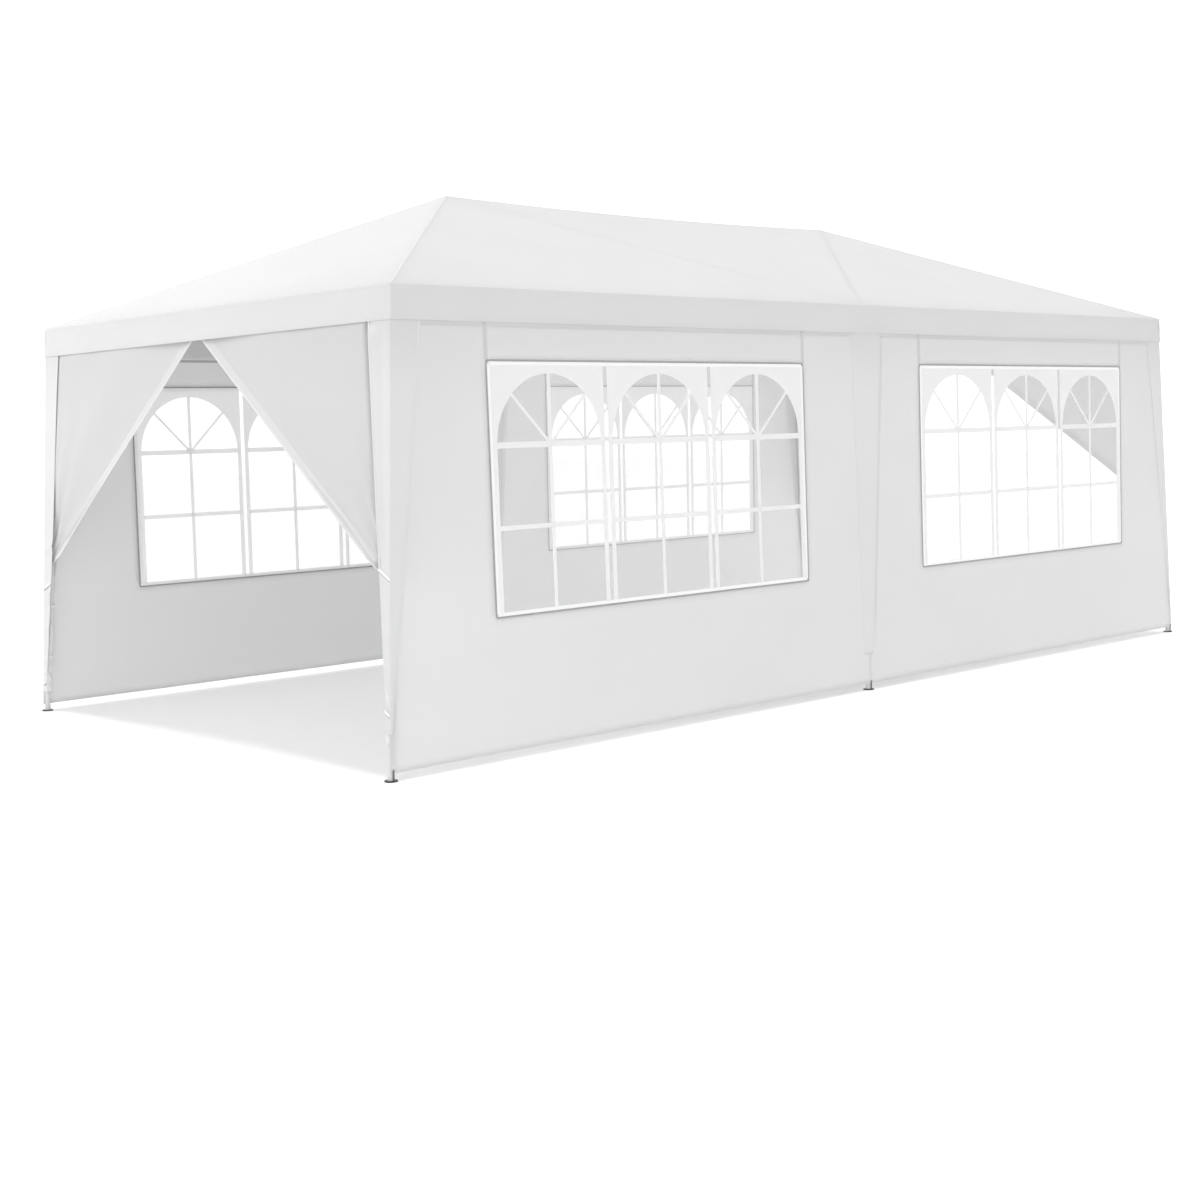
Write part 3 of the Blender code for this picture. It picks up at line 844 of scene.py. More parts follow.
def roof_seams():
    """Felled seams over the hips and the ridge."""
    strips = Strips(roof_point)
    half = SEAM_HALF

    def sew(plans):
        rings = []
        for plan in plans:
            low = [(x, y, SEAM_UNDER) for x, y in plan]
            rings.append(strips.ring(low + [(x, y, SEAM_TOP) for x, y in reversed(plan)]))
        strips.loft(rings, (0, half, 2 * half, 2 * half, half, 0))

    hips, ridge = hip_routes()
    for route in hips:
        sew([[(x + math.copysign(half, x), y), (x, y), (x, y + math.copysign(half, y))] for x, y in route])
    sew([[(x, -half), (x, 0), (x, half)] for x, _ in ridge])
    return strips.piece("roof_cover_seams", SEAM_CLOTH)


def valance_hems():
    strips = Strips()
    section = band_section(VALANCE_BOTTOM, VALANCE_BOTTOM + HEM, -VALANCE_HEM_LIFT, VALANCE_HEM_LIFT)
    for side in SIDES:
        rings = []
        for share in spread(-1, 1, 0.05 / 3):
            rings.append(strips.ring([valance_point(side, share * (corner_reach(side, z) + lift), z, lift)
                                      for z, lift in section]))
        strips.loft(rings, (0, HEM, HEM, 0))
    return strips.piece("valance_hems", ROOF_CLOTH)


def roof_stitches():
    """Rows of stitches beside the hips and the ridge, and round the valance."""
    hips, ridge = hip_routes()
    routes = []
    for route in hips:
        for offset, lift in ((0.003, ON_SEAM), (0.0095, ON_CLOTH)):
            for pick in (0, 1):
                line = []
                for x, y in route:
                    sx, sy = math.copysign(1, x), math.copysign(1, y)
                    a, b = (x + sx * offset, y) if pick else (x, y + sy * offset)
                    out = (sx * ROOF_RISE * pick, sy * ROOF_RISE * (1 - pick), 1.0)
                    line.append((roof_point(a, b, lift), out))
                routes.append(line)
    for y in (-0.0035, 0.0035):
        routes.append(laid(roof_point, [(x, y) for x, _ in ridge], ON_SEAM, UP))
    rows = ((EAVE_EDGE_HEIGHT - 0.014, ON_CLOTH), (VALANCE_BOTTOM + 0.005, ON_VALANCE_HEM),
            (VALANCE_BOTTOM + HEM - 0.004, ON_VALANCE_HEM))
    for side in SIDES:
        for z, lift in rows:
            reach = corner_reach(side, z) - 0.004
            routes.append([(valance_point(side, along, z, lift), facing(side))
                           for along in spread(-reach, reach, 0.06)])
    return stitches("roof_cover_stitches", routes)


def build_roof():
    cover = roof_cover()
    trim = [roof_seams(), valance_hems(), roof_stitches()]
    settle(cover, [f"{part}_{side}" for part in ("roof", "valance") for side in SIDES])
    settle_all(trim)
    drop = EAVE_EDGE_HEIGHT - VALANCE_BOTTOM
    area = 4 * COVER_HALF_LENGTH * COVER_HALF_WIDTH * ROOF_STRETCH
    area += 4 * (COVER_HALF_LENGTH + COVER_HALF_WIDTH) * drop


# Walls and windows


WINDOW_NEAR = 1.5 - WINDOW_WIDTH / 2
WINDOW_FAR = 1.5 + WINDOW_WIDTH / 2
WALL_REACH = 3.05
WALL_SEEDS = {"right_front": 1.7, "left_front": 5.3, "right_back": 1.7 + 3.1, "left_back": 5.3 + 3.1}
# How deep a wall's even waves and its uneven ones go, and the size of the groove beside the middle skirt
WAVE_DEPTH, DRIFT_DEPTH = 0.0035, 0.0035
GUTTER_DEPTH, GUTTER_HALF_WIDTH = 0.012, 0.008


def wall_edge(z):
    """How far a wall runs from the tent's middle to its corner."""
    return leg_x(z) + (WALL_LAYER + CLOTH) * END_STRETCH


def wall_gutter(u, z):
    """A narrow groove beside the middle leg skirt's back edge, where the wall is pulled in to the leg."""
    edge = skirt_width(z, MIDDLE_SKIRT_WIDTHS) / 2 + skirt_lean(z) + 0.002
    upper = smooth_step(VALANCE_BOTTOM + 0.01, VALANCE_BOTTOM - 0.12, z)
    lower = smooth_step(SKIRT_BOTTOM, SKIRT_BOTTOM + 0.3, z)
    return GUTTER_DEPTH * math.exp(-((u - edge - 0.003) / GUTTER_HALF_WIDTH) ** 2) * (upper * lower)


def wall_sway(name, u, z):
    """Soft waves of a hanging wall. They only go inwards, and die out at its top, its leg and its corner."""
    seed = WALL_SEEDS[name]
    across = max(0.0, math.sin(math.pi * min(1.0, max(0.0, (u - 0.05) / 2.9)))) ** 0.6
    down = smooth_step(HANGING_TOP, 0.9, z)
    wave = 0.5 + 0.5 * math.sin(u * 6.1 + seed + 0.5 * z)
    drift = 0.5 + 0.5 * noise.noise(Vector((u * 1.3 + seed, z * 0.9, seed)))
    sway = across * down * (WAVE_DEPTH * wave + DRIFT_DEPTH * drift)
    return sway + wall_gutter(u, z) if name.endswith("back") else sway


def wall_along(u, z):
    """The place along the wall, where the part beyond the window follows the leaning leg."""
    if u <= WINDOW_FAR:
        return u
    return WINDOW_FAR + (u - WINDOW_FAR) * (wall_edge(z) - WINDOW_FAR) / (WALL_REACH - WINDOW_FAR)


def wall_surface(side, end_name):
    """The surface of one wall: at(u, z, lift), with u measured from the tent's middle."""
    def at(u, z, lift=0.0):
        along = wall_along(u, z)
        depth = wall_sway(f"{side}_{end_name}", along, z)
        return on_side(side, ENDS[end_name] * along, z, WALL_LAYER - depth + lift)

    return at


def window_rectangle(margin):
    """Four routes round the window, at a distance outside its edge."""
    low_u, high_u = WINDOW_NEAR - margin, WINDOW_FAR + margin
    low_z, high_z = WINDOW_BOTTOM - margin, WINDOW_TOP + margin
    return [level(low_z, low_u, high_u), upright(high_u, low_z, high_z),
            level(high_z, high_u, low_u), upright(low_u, high_z, low_z)]


def joined_spreads(stops, steps):
    """Places through all the stops, with a step of its own between each two."""
    places = [stops[0]]
    for low, high, step in zip(stops, stops[1:], steps):
        places += spread(low, high, step)[1:]
    return places


def wall_trim(name, at, out):
    """Seams over the window, hems, inner tape, and the window's piping, welt and stitches."""
    seam_routes = [upright(u, WINDOW_TOP + PIPING / 2, HANGING_TOP) for u in (WINDOW_NEAR, WINDOW_FAR)]
    foot, head = (level(z, SLIT, WALL_REACH) for z in (WALL_BOTTOM + 0.002, HANGING_TOP - HEM / 2))
    inner = level(INNER_TAPE_HEIGHT, 0.02, WALL_REACH - 0.02)
    pieces = [
        taped(f"side_wall_seams_{name}", at, SHADED_SEAM_GREY, [(route, WALL_SEAM) for route in seam_routes]),
        taped(f"side_wall_hems_{name}", at, HEM_CLOTH, [(foot, WALL_FOOT_HEM), (head, WALL_TOP_HEM)]),
        taped(f"wall_inner_tape_{name}", at, GREY_TAPE_AND_SHADOW, [(inner, INNER_TAPE)]),
        taped(f"window_piping_{name}", at, PIPING_GREY,
              [(route, WINDOW_PIPING) for route in window_rectangle(0.0)]),
        taped(f"window_welt_{name}", at, WELT_TAPE,
              [(route, WINDOW_WELT) for route in window_rectangle(-(PIPING / 2 + WELT / 2))]),
    ]
    rows = [laid(at, level(z, 0.01, WALL_REACH - 0.005, 0.06), ON_CLOTH, out)
            for z in (WALL_BOTTOM + 0.007, WALL_BOTTOM + HEM - 0.004)]
    for margin, lift in ((0.012, ON_CLOTH), (-0.009, ON_WELT), (-0.017, ON_WELT)):
        rows += [laid(at, route, lift, out) for route in window_rectangle(margin)]
    for u in (WINDOW_NEAR, WINDOW_FAR):
        for offset in (-0.006, 0.006):
            rows.append(laid(at, upright(u + offset, WINDOW_TOP + 0.012, HANGING_TOP, 0.06), ON_WELT, out))
    pieces.append(stitches(f"wall_stitches_{name}", rows))
    return pieces


def side_wall(side, end_name):
    name = f"{side}_{end_name}"
    at = wall_surface(side, end_name)
    columns = joined_spreads((SLIT, 0.185, WINDOW_NEAR, WINDOW_FAR, WALL_REACH), (0.0045, 0.04, 0.04, 0.04))
    rows = joined_spreads((WALL_BOTTOM, WINDOW_BOTTOM, WINDOW_TOP, HANGING_TOP), (0.04, 0.04, 0.04))

    def keep(u, z):
        return not (WINDOW_NEAR < u < WINDOW_FAR and WINDOW_BOTTOM < z < WINDOW_TOP)

    wall = sheet(f"side_wall_{name}", columns, rows, at, facing(side), WALL_CLOTH, keep=keep)
    trim = wall_trim(name, at, facing(side))
    settle(wall, [f"wall_{name}"])
    settle_all(trim)
    width, height = wall_edge(1.0), HANGING_TOP - WALL_BOTTOM
    wall_edge(WALL_BOTTOM)

    film = sheet(f"window_film_{name}", spread(WINDOW_NEAR, WINDOW_FAR, 0.04),
                 spread(WINDOW_BOTTOM, WINDOW_TOP, 0.04), at, facing(side), WINDOW_FILM, thickness=FILM)
    ink = glazing_print(name, at)
    settle(film, [f"window_{name}"])
    settle(ink)


# The printed glazing: three arched lights in each window. A bar runs into its neighbour by the lap.
LIGHT_GAP = 0.022
BAR = 0.024
BAR_LAP = 0.004
SPRING_HEIGHT = 1.335
LOWER_BAR_HEIGHT = 0.985

# Printed bars: width, then the two faces off the film's middle. Those of crossing bars never coincide.
INK_LIFT = 0.00050
STILE = (BAR, -INK_LIFT, INK_LIFT)
MIDDLE_BAR = (0.019, -INK_LIFT, INK_LIFT)
SPRING_BAR = (0.026, -0.00054, 0.00054)
LOWER_BAR = (0.020, -0.00054, 0.00054)
SLANTING_BAR = (0.014, -0.00046, 0.00046)


def glazing_print(name, at):
    """Three printed arches with their bars, on both faces of the film."""
    strips = Strips(at)
    margin = PIPING / 2 + WELT
    left, right = WINDOW_NEAR + margin, WINDOW_FAR - margin
    bottom, top = WINDOW_BOTTOM + margin, WINDOW_TOP - margin
    light = (right - left - 2 * LIGHT_GAP) / 3
    radius = light / 2 - BAR
    for number in range(3):
        low = left + number * (light + LIGHT_GAP)
        high = low + light
        centre = (low + high) / 2
        for u in (low + BAR / 2, high - BAR / 2):
            strips.tape(upright(u, bottom, SPRING_HEIGHT), *STILE)
        strips.tape(upright(centre, bottom, SPRING_HEIGHT + radius + BAR_LAP), *MIDDLE_BAR)
        for z, size in ((SPRING_HEIGHT, SPRING_BAR), (LOWER_BAR_HEIGHT, LOWER_BAR)):
            strips.tape(level(z, low + BAR - BAR_LAP, high - BAR + BAR_LAP), *size)
        for angle in (45, 135):
            run, rise = math.cos(math.radians(angle)), math.sin(math.radians(angle))
            reaches = spread(0.01, radius + BAR_LAP, 0.04)
            strips.tape([(centre + run * r, SPRING_HEIGHT + rise * r) for r in reaches], *SLANTING_BAR)
        spandrels(strips, centre, radius, light / 2, top - SPRING_HEIGHT)
    return strips.piece(f"glazing_print_{name}", INK)


def spandrels(strips, centre, radius, half, height):
    """The solid print outside the arch, from one springing over the crown to the other."""
    levels = 5
    corner = math.degrees(math.atan2(height, half))
    rays = []
    for angle in sorted({*range(0, 181, 6), corner, 180 - corner}):
        run, rise = math.cos(math.radians(angle)), math.sin(math.radians(angle))
        reach = min(half / max(abs(run), 1e-6), height / max(rise, 1e-6))
        inner = (centre + run * radius, SPRING_HEIGHT + rise * radius)
        outer = (centre + run * reach, SPRING_HEIGHT + rise * reach)
        rays.append([(mixed(inner[0], outer[0], k / levels), mixed(inner[1], outer[1], k / levels))
                     for k in range(levels + 1)])
    back, front = ([strips.ring([(u, z, lift) for u, z in ray]) for ray in rays]
                   for lift in (-INK_LIFT, INK_LIFT))
    for grid in (back, front):
        for first, second in zip(grid, grid[1:]):
            for k in range(levels):
                face = strips.bm.faces.new((first[k], first[k + 1], second[k + 1], second[k]))
                lay_cut(face, strips.cut, ((0, 0), (0.02, 0), (0.02, 0.02), (0, 0.02)))
    for k in (0, levels):
        for i in range(len(rays) - 1):
            strips.bm.faces.new((back[i][k], back[i + 1][k], front[i + 1][k], front[i][k]))
    for i in (0, len(rays) - 1):
        for k in range(levels):
            strips.bm.faces.new((back[i][k], back[i][k + 1], front[i][k + 1], front[i][k]))


# Leg skirts


def skirt_width(z, widths):
    return mixed(widths[1], widths[0], (z - SKIRT_BOTTOM) / (VALANCE_BOTTOM - SKIRT_BOTTOM))


# Folds across an end wing: height at the corner, rise off the wing, climb to the free edge, thickness
WING_FOLDS = (
    (0.825, 0.0042, 0.050, 0.010), (0.575, 0.0036, 0.045, 0.008), (0.545, 0.0028, 0.045, 0.006),
    (0.400, 0.0022, 0.035, 0.008),
)


def wing_folds(share, z):
    """Raised folds that run slanting across an end wing, where the cloth is pulled round the leg.

    share is 0 at the corner and 1 at the free edge.
    """
    height = 0.0
    for middle, rise, slope, thickness in WING_FOLDS:
        place = (z - middle - slope * share) / thickness
        height += rise * math.exp(-place * place)
    return height * smooth_step(0.0, 0.25, share)


# The corner skirt: its bend's radius, the part of a long wing's width that is left at its foot, and what is
# added to the left end wings. Then how far a free edge and a pressed one stand off, and how far a long wing's
# edge is tucked in.
SKIRT_BEND = 0.006
LONG_WING_FOOT = 0.45
LEFT_WING_ADDED = 0.022
FREE_EDGE_OFF, PRESSED_EDGE_OFF = 0.013, 0.0005
LONG_WING_TUCK = 0.0011


def corner_skirt_point(end, side, share, z, lift):
    """A point of a corner skirt.

    share goes from -1 at the end wing's free edge, over the corner at 0, to 1 at the long wing's free edge.
    """
    on_end = share < 0
    width = skirt_width(z, CORNER_SKIRT_WIDTHS)
    if share > 0:
        width *= mixed(LONG_WING_FOOT, 1.0, smooth_step(SKIRT_BOTTOM, 0.80, z))
    elif side > 0:
        width += LEFT_WING_ADDED * smooth_step(1.75, 0.90, z)
    flare = FREE_EDGE_OFF if on_end and side < 0 else PRESSED_EDGE_OFF
    flare *= smooth_step(0.30, 1.0, abs(share))
    flare *= smooth_step(VALANCE_BOTTOM, 1.79, z)
    flare *= smooth_step(0.75, 1.1, z)
    flare -= LONG_WING_TUCK * smooth_step(0.70, 1.0, share)
    layer = SKIRT_LAYER + lift + flare + (wing_folds(-share, z) if on_end else 0.0)
    edge_x = leg_x(z) + layer * END_STRETCH
    edge_y = leg_y(z) + layer * LONG_STRETCH
    run = abs(share) * width
    bend = SKIRT_BEND + lift
    quarter = bend * math.pi / 4
    if run >= quarter:
        away = run - quarter + bend
        x, y = (edge_x, edge_y - away) if on_end else (edge_x - away, edge_y)
    else:
        turn = math.radians(45) * (1 + (run / quarter if share > 0 else -run / quarter))
        x = edge_x - bend + bend * math.cos(turn)
        y = edge_y - bend + bend * math.sin(turn)
    return Vector((end * x, side * y, z))


def edge_hems(name, at, reach, hem, lift, least=0.0):
    """Hems down both free edges of a skirt, where reach(z) is its width at share 1."""
    hems = Strips(at)
    for sign in (-1, 1):
        rings = []
        for z in spread(SKIRT_BOTTOM, HANGING_TOP, 0.04):
            section = band_section(sign * max(least, 1 - hem / reach(z)), sign, -lift, lift)
            rings.append(hems.ring([(share, z, off) for share, off in section]))
        hems.loft(rings, (0, hem, hem, 0))
    return hems.piece(name, SKIRT_CLOTH)


def edge_stitches(name, at, reach, outs, bottom, least=0.0):
    """Stitches down both free edges of a skirt, each with its outward direction."""
    routes = []
    for sign, out in zip((-1, 1), outs):
        route = [(sign * max(least, 1 - 0.009 / reach(z)), z) for z in spread(bottom, HANGING_TOP, 0.04)]
        routes.append(laid(at, route, ON_SKIRT_HEM, out))
    return stitches(name, routes)


def hang_skirt(name, skirt, trim, top):
    """Settles a skirt whose flat cut is a strip that tapers from its top to its foot."""
    settle(skirt, [f"skirt_{name}"])
    settle_all(trim)


# Where a corner skirt's columns lie, as shares: even on both wings, and closer together round the leg
ROUND_THE_LEG = (-0.14, -0.10, -0.07, -0.04, -0.02, 0, 0.02, 0.04, 0.07, 0.10, 0.14)
CORNER_COLUMNS = (*(-1 + i / 14 for i in range(12)), *ROUND_THE_LEG, *(3 / 14 + i / 14 for i in range(12)))


def corner_skirt(end_name, side_name):
    end, side = ENDS[end_name], LONGS[side_name]
    name = f"{end_name}_{side_name}"

    def at(share, z, lift=0.0):
        return corner_skirt_point(end, side, share, z, lift)

    def reach(z):
        return skirt_width(z, CORNER_SKIRT_WIDTHS)

    rows = spread(SKIRT_BOTTOM, HANGING_TOP, 0.012)
    skirt = sheet(f"leg_skirt_{name}", CORNER_COLUMNS, rows, at, Vector((end, side, 0)), SKIRT_CLOTH,
                  cut=lambda share, z: (share * reach(z), z))
    hems = edge_hems(f"leg_skirt_hems_{name}", at, reach, 0.012, 0.0007, least=0.3)
    outs = (Vector((end, 0, 0)), Vector((0, side, 0)))
    threads = edge_stitches(f"leg_skirt_stitches_{name}", at, reach, outs, SKIRT_BOTTOM + 0.01, least=0.4)
    hang_skirt(name, skirt, [hems, threads], 2 * reach(HANGING_TOP))


# Straps over an end wing: height at the corner, climb to the free edge, distance off the skirt, first share
STRAPS = {
    "right": ((0.812, 0.042, 0.0, 0.04), (0.268, 0.018, 0.0032, 0.04)),
    "left": ((0.640, 0.034, 0.0, 0.04), (0.135, 0.018, 0.0030, 0.40)),
}
# Sections of a strap and of the dark grey band under it, which is a painted shadow: height from its middle,
# and rise off the skirt
STRAP_SECTION = (
    (0.0065, 0.0002), (0.0050, 0.0032), (0.0, 0.0054),
    (-0.0055, 0.0060), (-0.0066, 0.0040), (-0.0035, 0.0002),
)
STRAP_SHADOW_SECTION = band_section(-0.0110, -0.0060, 0.0002, 0.0024)


def gather_straps(end_name, side_name):
    """Soft straps that hold the curtain's gather and its bundle, pulled slantwise over the end wing."""
    end, side = ENDS[end_name], LONGS[side_name]
    strap, edge = Strips(), Strips()
    for middle, climb, off, start in STRAPS[side_name]:
        for strips, section in ((strap, STRAP_SECTION), (edge, STRAP_SHADOW_SECTION)):
            rings = []
            for share in spread(start, 1.0, 0.06):
                full = mixed(0.4, 1.0, smooth_step(start - 0.02, start + 0.21, share))
                height = middle + climb * share
                points = [corner_skirt_point(end, side, -share, height + rise, off + full * lift)
                          for rise, lift in section]
                rings.append(strips.ring(points))
            strips.loft(rings, [0.003 * i for i in range(len(section))])
    name = f"{end_name}_{side_name}"
    settle(strap.piece(f"gather_straps_{name}", WELT_TAPE))
    # The dark band under each strap is a painted shadow of the strap
    settle(edge.piece(f"gather_strap_shadows_{name}", GREY_TAPE_AND_SHADOW))


def skirt_lean(z):
    """How far the middle skirt hangs to the back of its leg. Low down it hangs to the front."""
    return mixed(-0.012, 0.028, (z - SKIRT_BOTTOM) / (VALANCE_BOTTOM - SKIRT_BOTTOM))


def middle_skirt(side_name):
    name = f"middle_{side_name}"
    out = facing(side_name)

    def reach(z):
        return skirt_width(z, MIDDLE_SKIRT_WIDTHS) / 2

    def at(share, z, lift=0.0):
        pressed = 0.0022 * smooth_step(-0.75, -1.0, share)
        return on_side(side_name, share * reach(z) + skirt_lean(z), z, SKIRT_LAYER - pressed + lift)

    columns = [-1 + i / 10 for i in range(21)]
    rows = spread(SKIRT_BOTTOM, HANGING_TOP, 0.03)
    skirt = sheet(f"leg_skirt_{name}", columns, rows, at, out, SKIRT_CLOTH,
                  cut=lambda share, z: (share * reach(z), z))
    hems = edge_hems(f"leg_skirt_hems_{name}", at, reach, 0.005, 0.0006)
    threads = edge_stitches(f"leg_skirt_stitches_{name}", at, reach, (out, out), SKIRT_BOTTOM)
    hang_skirt(name, skirt, [hems, threads], 2 * reach(HANGING_TOP))


# Door curtains

FLAP_SEEDS = {"front_right": 0.4, "front_left": 2.3, "back_right": 3.9, "back_left": 5.6}
# The share of the way down at which the flap's inner edge turns into the slanting zip
FLAP_CORNER = 0.09
# How deep the flap is pulled in beside the skirt's wing: the free wing of a right leg, and a left one's
FREE_WING_GROOVE, PRESSED_WING_GROOVE = 0.045, 0.004
GROOVE_HALF_WIDTH = 0.018
# The gather's pleats round the leg: how many in each radian, their greatest depth, its reach and how far it
# spreads, and their depth elsewhere
PLEAT_RATE = 22
PLEAT_DEPTH, PLEAT_REACH, PLEAT_SPREAD, PLEAT_LEAST = 0.0075, 0.25, 0.35, 0.0018
# The curl along the slanting edge: its depth and width, and how it comes back at the very edge
CURL_DEPTH, CURL_WIDTH = 0.016, 0.34
CURL_RETURN, CURL_RETURN_WIDTH = 0.006, 0.045


def flap_depth(y, z, seed, right, gather_z):
    """How far the flap lies inwards of its flat place.

    It gathers at the leg, dips in a groove beside the skirt, and curls at its slanting edge.
    """
    away_y, away_z = leg_y(gather_z) - y, z - gather_z
    reach = math.hypot(away_y, away_z)
    angle = math.atan2(away_y, max(away_z, 1e-6))
    gather = PLEAT_DEPTH * math.exp(-((reach - PLEAT_REACH) / PLEAT_SPREAD) ** 2) + PLEAT_LEAST
    uneven = noise.noise(Vector((angle * 4, reach * 2, seed)))
    pleats = 0.5 + 0.5 * math.cos(angle * PLEAT_RATE + seed + 1.5 * uneven)
    wing_edge = leg_y(z) + SKIRT_LAYER - skirt_width(z, CORNER_SKIRT_WIDTHS)
    if right:
        groove, flat_reach = FREE_WING_GROOVE, 0.030
    else:
        groove = PRESSED_WING_GROOVE * smooth_step(1.2, 1.7, z)
        flat_reach = mixed(0.030, leg_y(z) - wing_edge + LEFT_WING_ADDED, smooth_step(0.95, 1.35, z))
    off_leg = smooth_step(flat_reach, flat_reach + 0.06, leg_y(z) - y)
    off_tube = smooth_step(HANGING_TOP - 0.02, HANGING_TOP - 0.09, z)
    groove *= math.exp(-((y - wing_edge + 0.006) / GROOVE_HALF_WIDTH) ** 2)
    groove *= smooth_step(HANGING_TOP - 0.03, VALANCE_BOTTOM, z)
    slant_run, slant_rise = GATHER_REACH, CURTAIN_MEETING_HEIGHT - gather_z
    from_edge = (z - gather_z) * slant_run + (y - GATHER_REACH) * slant_rise
    from_edge /= math.hypot(slant_run, slant_rise)
    curl = CURL_DEPTH * smooth_step(CURL_WIDTH, CURL_RETURN_WIDTH, from_edge)
    curl -= CURL_RETURN * smooth_step(CURL_RETURN_WIDTH, 0.0, from_edge)
    return off_tube * (off_leg * (gather * pleats + curl) + groove)


def flap_edges(p, gather_z):
    """The leg's edge and the zip's edge of the flap at a share of the way down."""
    leg_z = mixed(HANGING_TOP, gather_z, p)
    leg_edge = (leg_y(leg_z) + HUB_RADIUS, leg_z)
    if p < FLAP_CORNER:
        zip_edge = (SLIT, mixed(HANGING_TOP, CURTAIN_MEETING_HEIGHT, p / FLAP_CORNER))
    else:
        share = (p - FLAP_CORNER) / (1 - FLAP_CORNER)
        zip_edge = (mixed(SLIT, GATHER_REACH, share), mixed(CURTAIN_MEETING_HEIGHT, gather_z, share))
    return leg_edge, zip_edge


def door_flap(end_name, side_name):
    side = LONGS[side_name]
    name = f"{end_name}_{side_name}"
    out = facing(end_name)
    gather_z = GATHER_HEIGHTS[side_name]
    # The front flaps take the darker, shade-painted cloth and band; the back flaps take the walls' own
    # lighter cloth and hem
    cloth, band_cloth = (SHADED_CURTAIN_CLOTH, SHADED_BAND_TAPE) if end_name == "front" else (WALL_CLOTH, HEM_CLOTH)

    def at(y, z, lift=0.0):
        depth = flap_depth(y, z, FLAP_SEEDS[name], side < 0, gather_z)
        return on_side(end_name, side * y, z, WALL_LAYER - depth + lift)

    def flat(p, q):
        (ya, za), (yb, zb) = flap_edges(p, gather_z)
        return mixed(ya, yb, q), mixed(za, zb, q)

    def near_zip(offset):
        """A route beside the slanting edge, at a distance inside the flap."""
        run, rise = GATHER_REACH, CURTAIN_MEETING_HEIGHT - gather_z
        size = math.hypot(run, rise)
        du, dz = offset * rise / size, offset * run / size
        return [(mixed(SLIT, GATHER_REACH, s) + du, mixed(CURTAIN_MEETING_HEIGHT, gather_z, s) + dz)
                for s in spread(0.0, 0.985, 0.02)]

    downs = [i * FLAP_CORNER / 4 for i in range(4)] + spread(FLAP_CORNER, 1.0, 0.013)
    acrosses = joined_spreads((0.0, 0.20, 1.0), (1 / 260, 1 / 56))
    flap = sheet(f"door_flap_{name}", downs, acrosses, lambda p, q: at(*flat(p, q)), out, cloth, cut=flat)
    top_hem = level(HANGING_TOP - HEM / 2, SLIT, 1.49)
    trim = [
        taped(f"door_flap_bands_{name}", at, band_cloth,
              [(near_zip(0.019), FLAP_BAND), (top_hem, FLAP_TOP_HEM)]),
        taped(f"zip_tape_{name}", at, TIE_TAPE, [(near_zip(0.001), ZIP_TAPE)]),
        row_piece(f"zip_teeth_{name}", TEETH, TOOTH_SIZES, ZIP_NYLON, [laid(at, near_zip(-0.004), 0.0, out)]),
        stitches(f"door_flap_stitches_{name}",
                 [laid(at, near_zip(offset), ON_BAND, out) for offset in (0.006, 0.033)]),
    ]
    return flap, trim


# Rings of the rolled curtain: height, reach from the leg to the door's middle, and reach into the tent
ROLL_RINGS = (
    (0.150, 0.029, 0.020), (0.200, 0.026, 0.018), (0.240, 0.034, 0.021), (0.370, 0.041, 0.024),
    (0.540, 0.043, 0.024), (0.600, 0.037, 0.019), (0.640, 0.046, 0.024), (0.740, 0.045, 0.024),
    (0.800, 0.037, 0.019), (0.850, 0.034, 0.018), (0.870, 0.026, 0.016),
)
ROLL_TURNS = 2.4
ROLL_PITCH = 0.27
ROLL_MEAN_RADIUS = 0.022
ROLL_THICKNESS = 0.0006
# Wrinkles of the roll: the wave, the rough part and the two together, and how deep they go
WRINKLE_WAVE, WRINKLE_ROUGH, WRINKLE_WHOLE = 0.0016, 0.0012, 0.0028
WRINKLE_DEPTH = 0.003
ROLL_SEEDS = {"front_right": 0.9, "front_left": 2.0, "back_right": 4.4, "back_left": 5.1}
# How far the bundle's lower part narrows to its tube
ROLL_SLIMNESS = {"front_right": 1.0, "front_left": 0.3, "back_right": 0.3, "back_left": 0.3}
# The ties round a bundle: height and tilt. Each is sunk a little into the cloth.
TIES = ((0.835, 0.012), (0.560, -0.010), (0.275, 0.010))
TIE_WIDTH = 0.016
TIE_SECTION = band_section(-TIE_WIDTH / 2, TIE_WIDTH / 2, 0.0002, 0.0010)
TIE_SINK = 0.0012
TIE_STEPS = 32


def ring_reach(z, column, slim):
    """The roll's reach at a height, read between its rings."""
    for lower, upper in zip(ROLL_RINGS, ROLL_RINGS[1:]):
        if z <= upper[0]:
            reach = mixed(lower[column], upper[column], smooth_step(lower[0], upper[0], z))
            break
    else:
        reach = ROLL_RINGS[-1][column]
    return mixed(reach, TUBE_RADIUS + 0.004, slim * smooth_step(0.50, 0.20, z))


def wrap_reach(z):
    """How far the roll reaches outwards past the leg. Low down it is wound over the skirt's end."""
    return mixed(0.0166, 0.0212, smooth_step(0.40, 0.33, z)) * END_STRETCH


def bundle_reach(angle, z, slim):
    """How far the bundle reaches from the leg's middle in a direction, as a rounded box.

    Angle 0 points to the door's middle, and a quarter turn on is into the tent.
    """
    across, inwards = math.cos(angle), math.sin(angle)
    side_reach = ring_reach(z, 1, slim) if across > 0 else HUB_RADIUS * LONG_STRETCH - 0.0006
    depth_reach = ring_reach(z, 2, slim) if inwards > 0 else wrap_reach(z)
    side_reach /= max(abs(across), 1e-6)
    depth_reach /= max(abs(inwards), 1e-6)
    return (side_reach ** -4 + depth_reach ** -4) ** -0.25


def round_leg(end, side, z, angle, reach):
    """A point round a corner leg at a height."""
    across, inwards = reach * math.cos(angle), reach * math.sin(angle)
    return Vector((end * (leg_x(z) - inwards), side * (leg_y(z) - across), z))


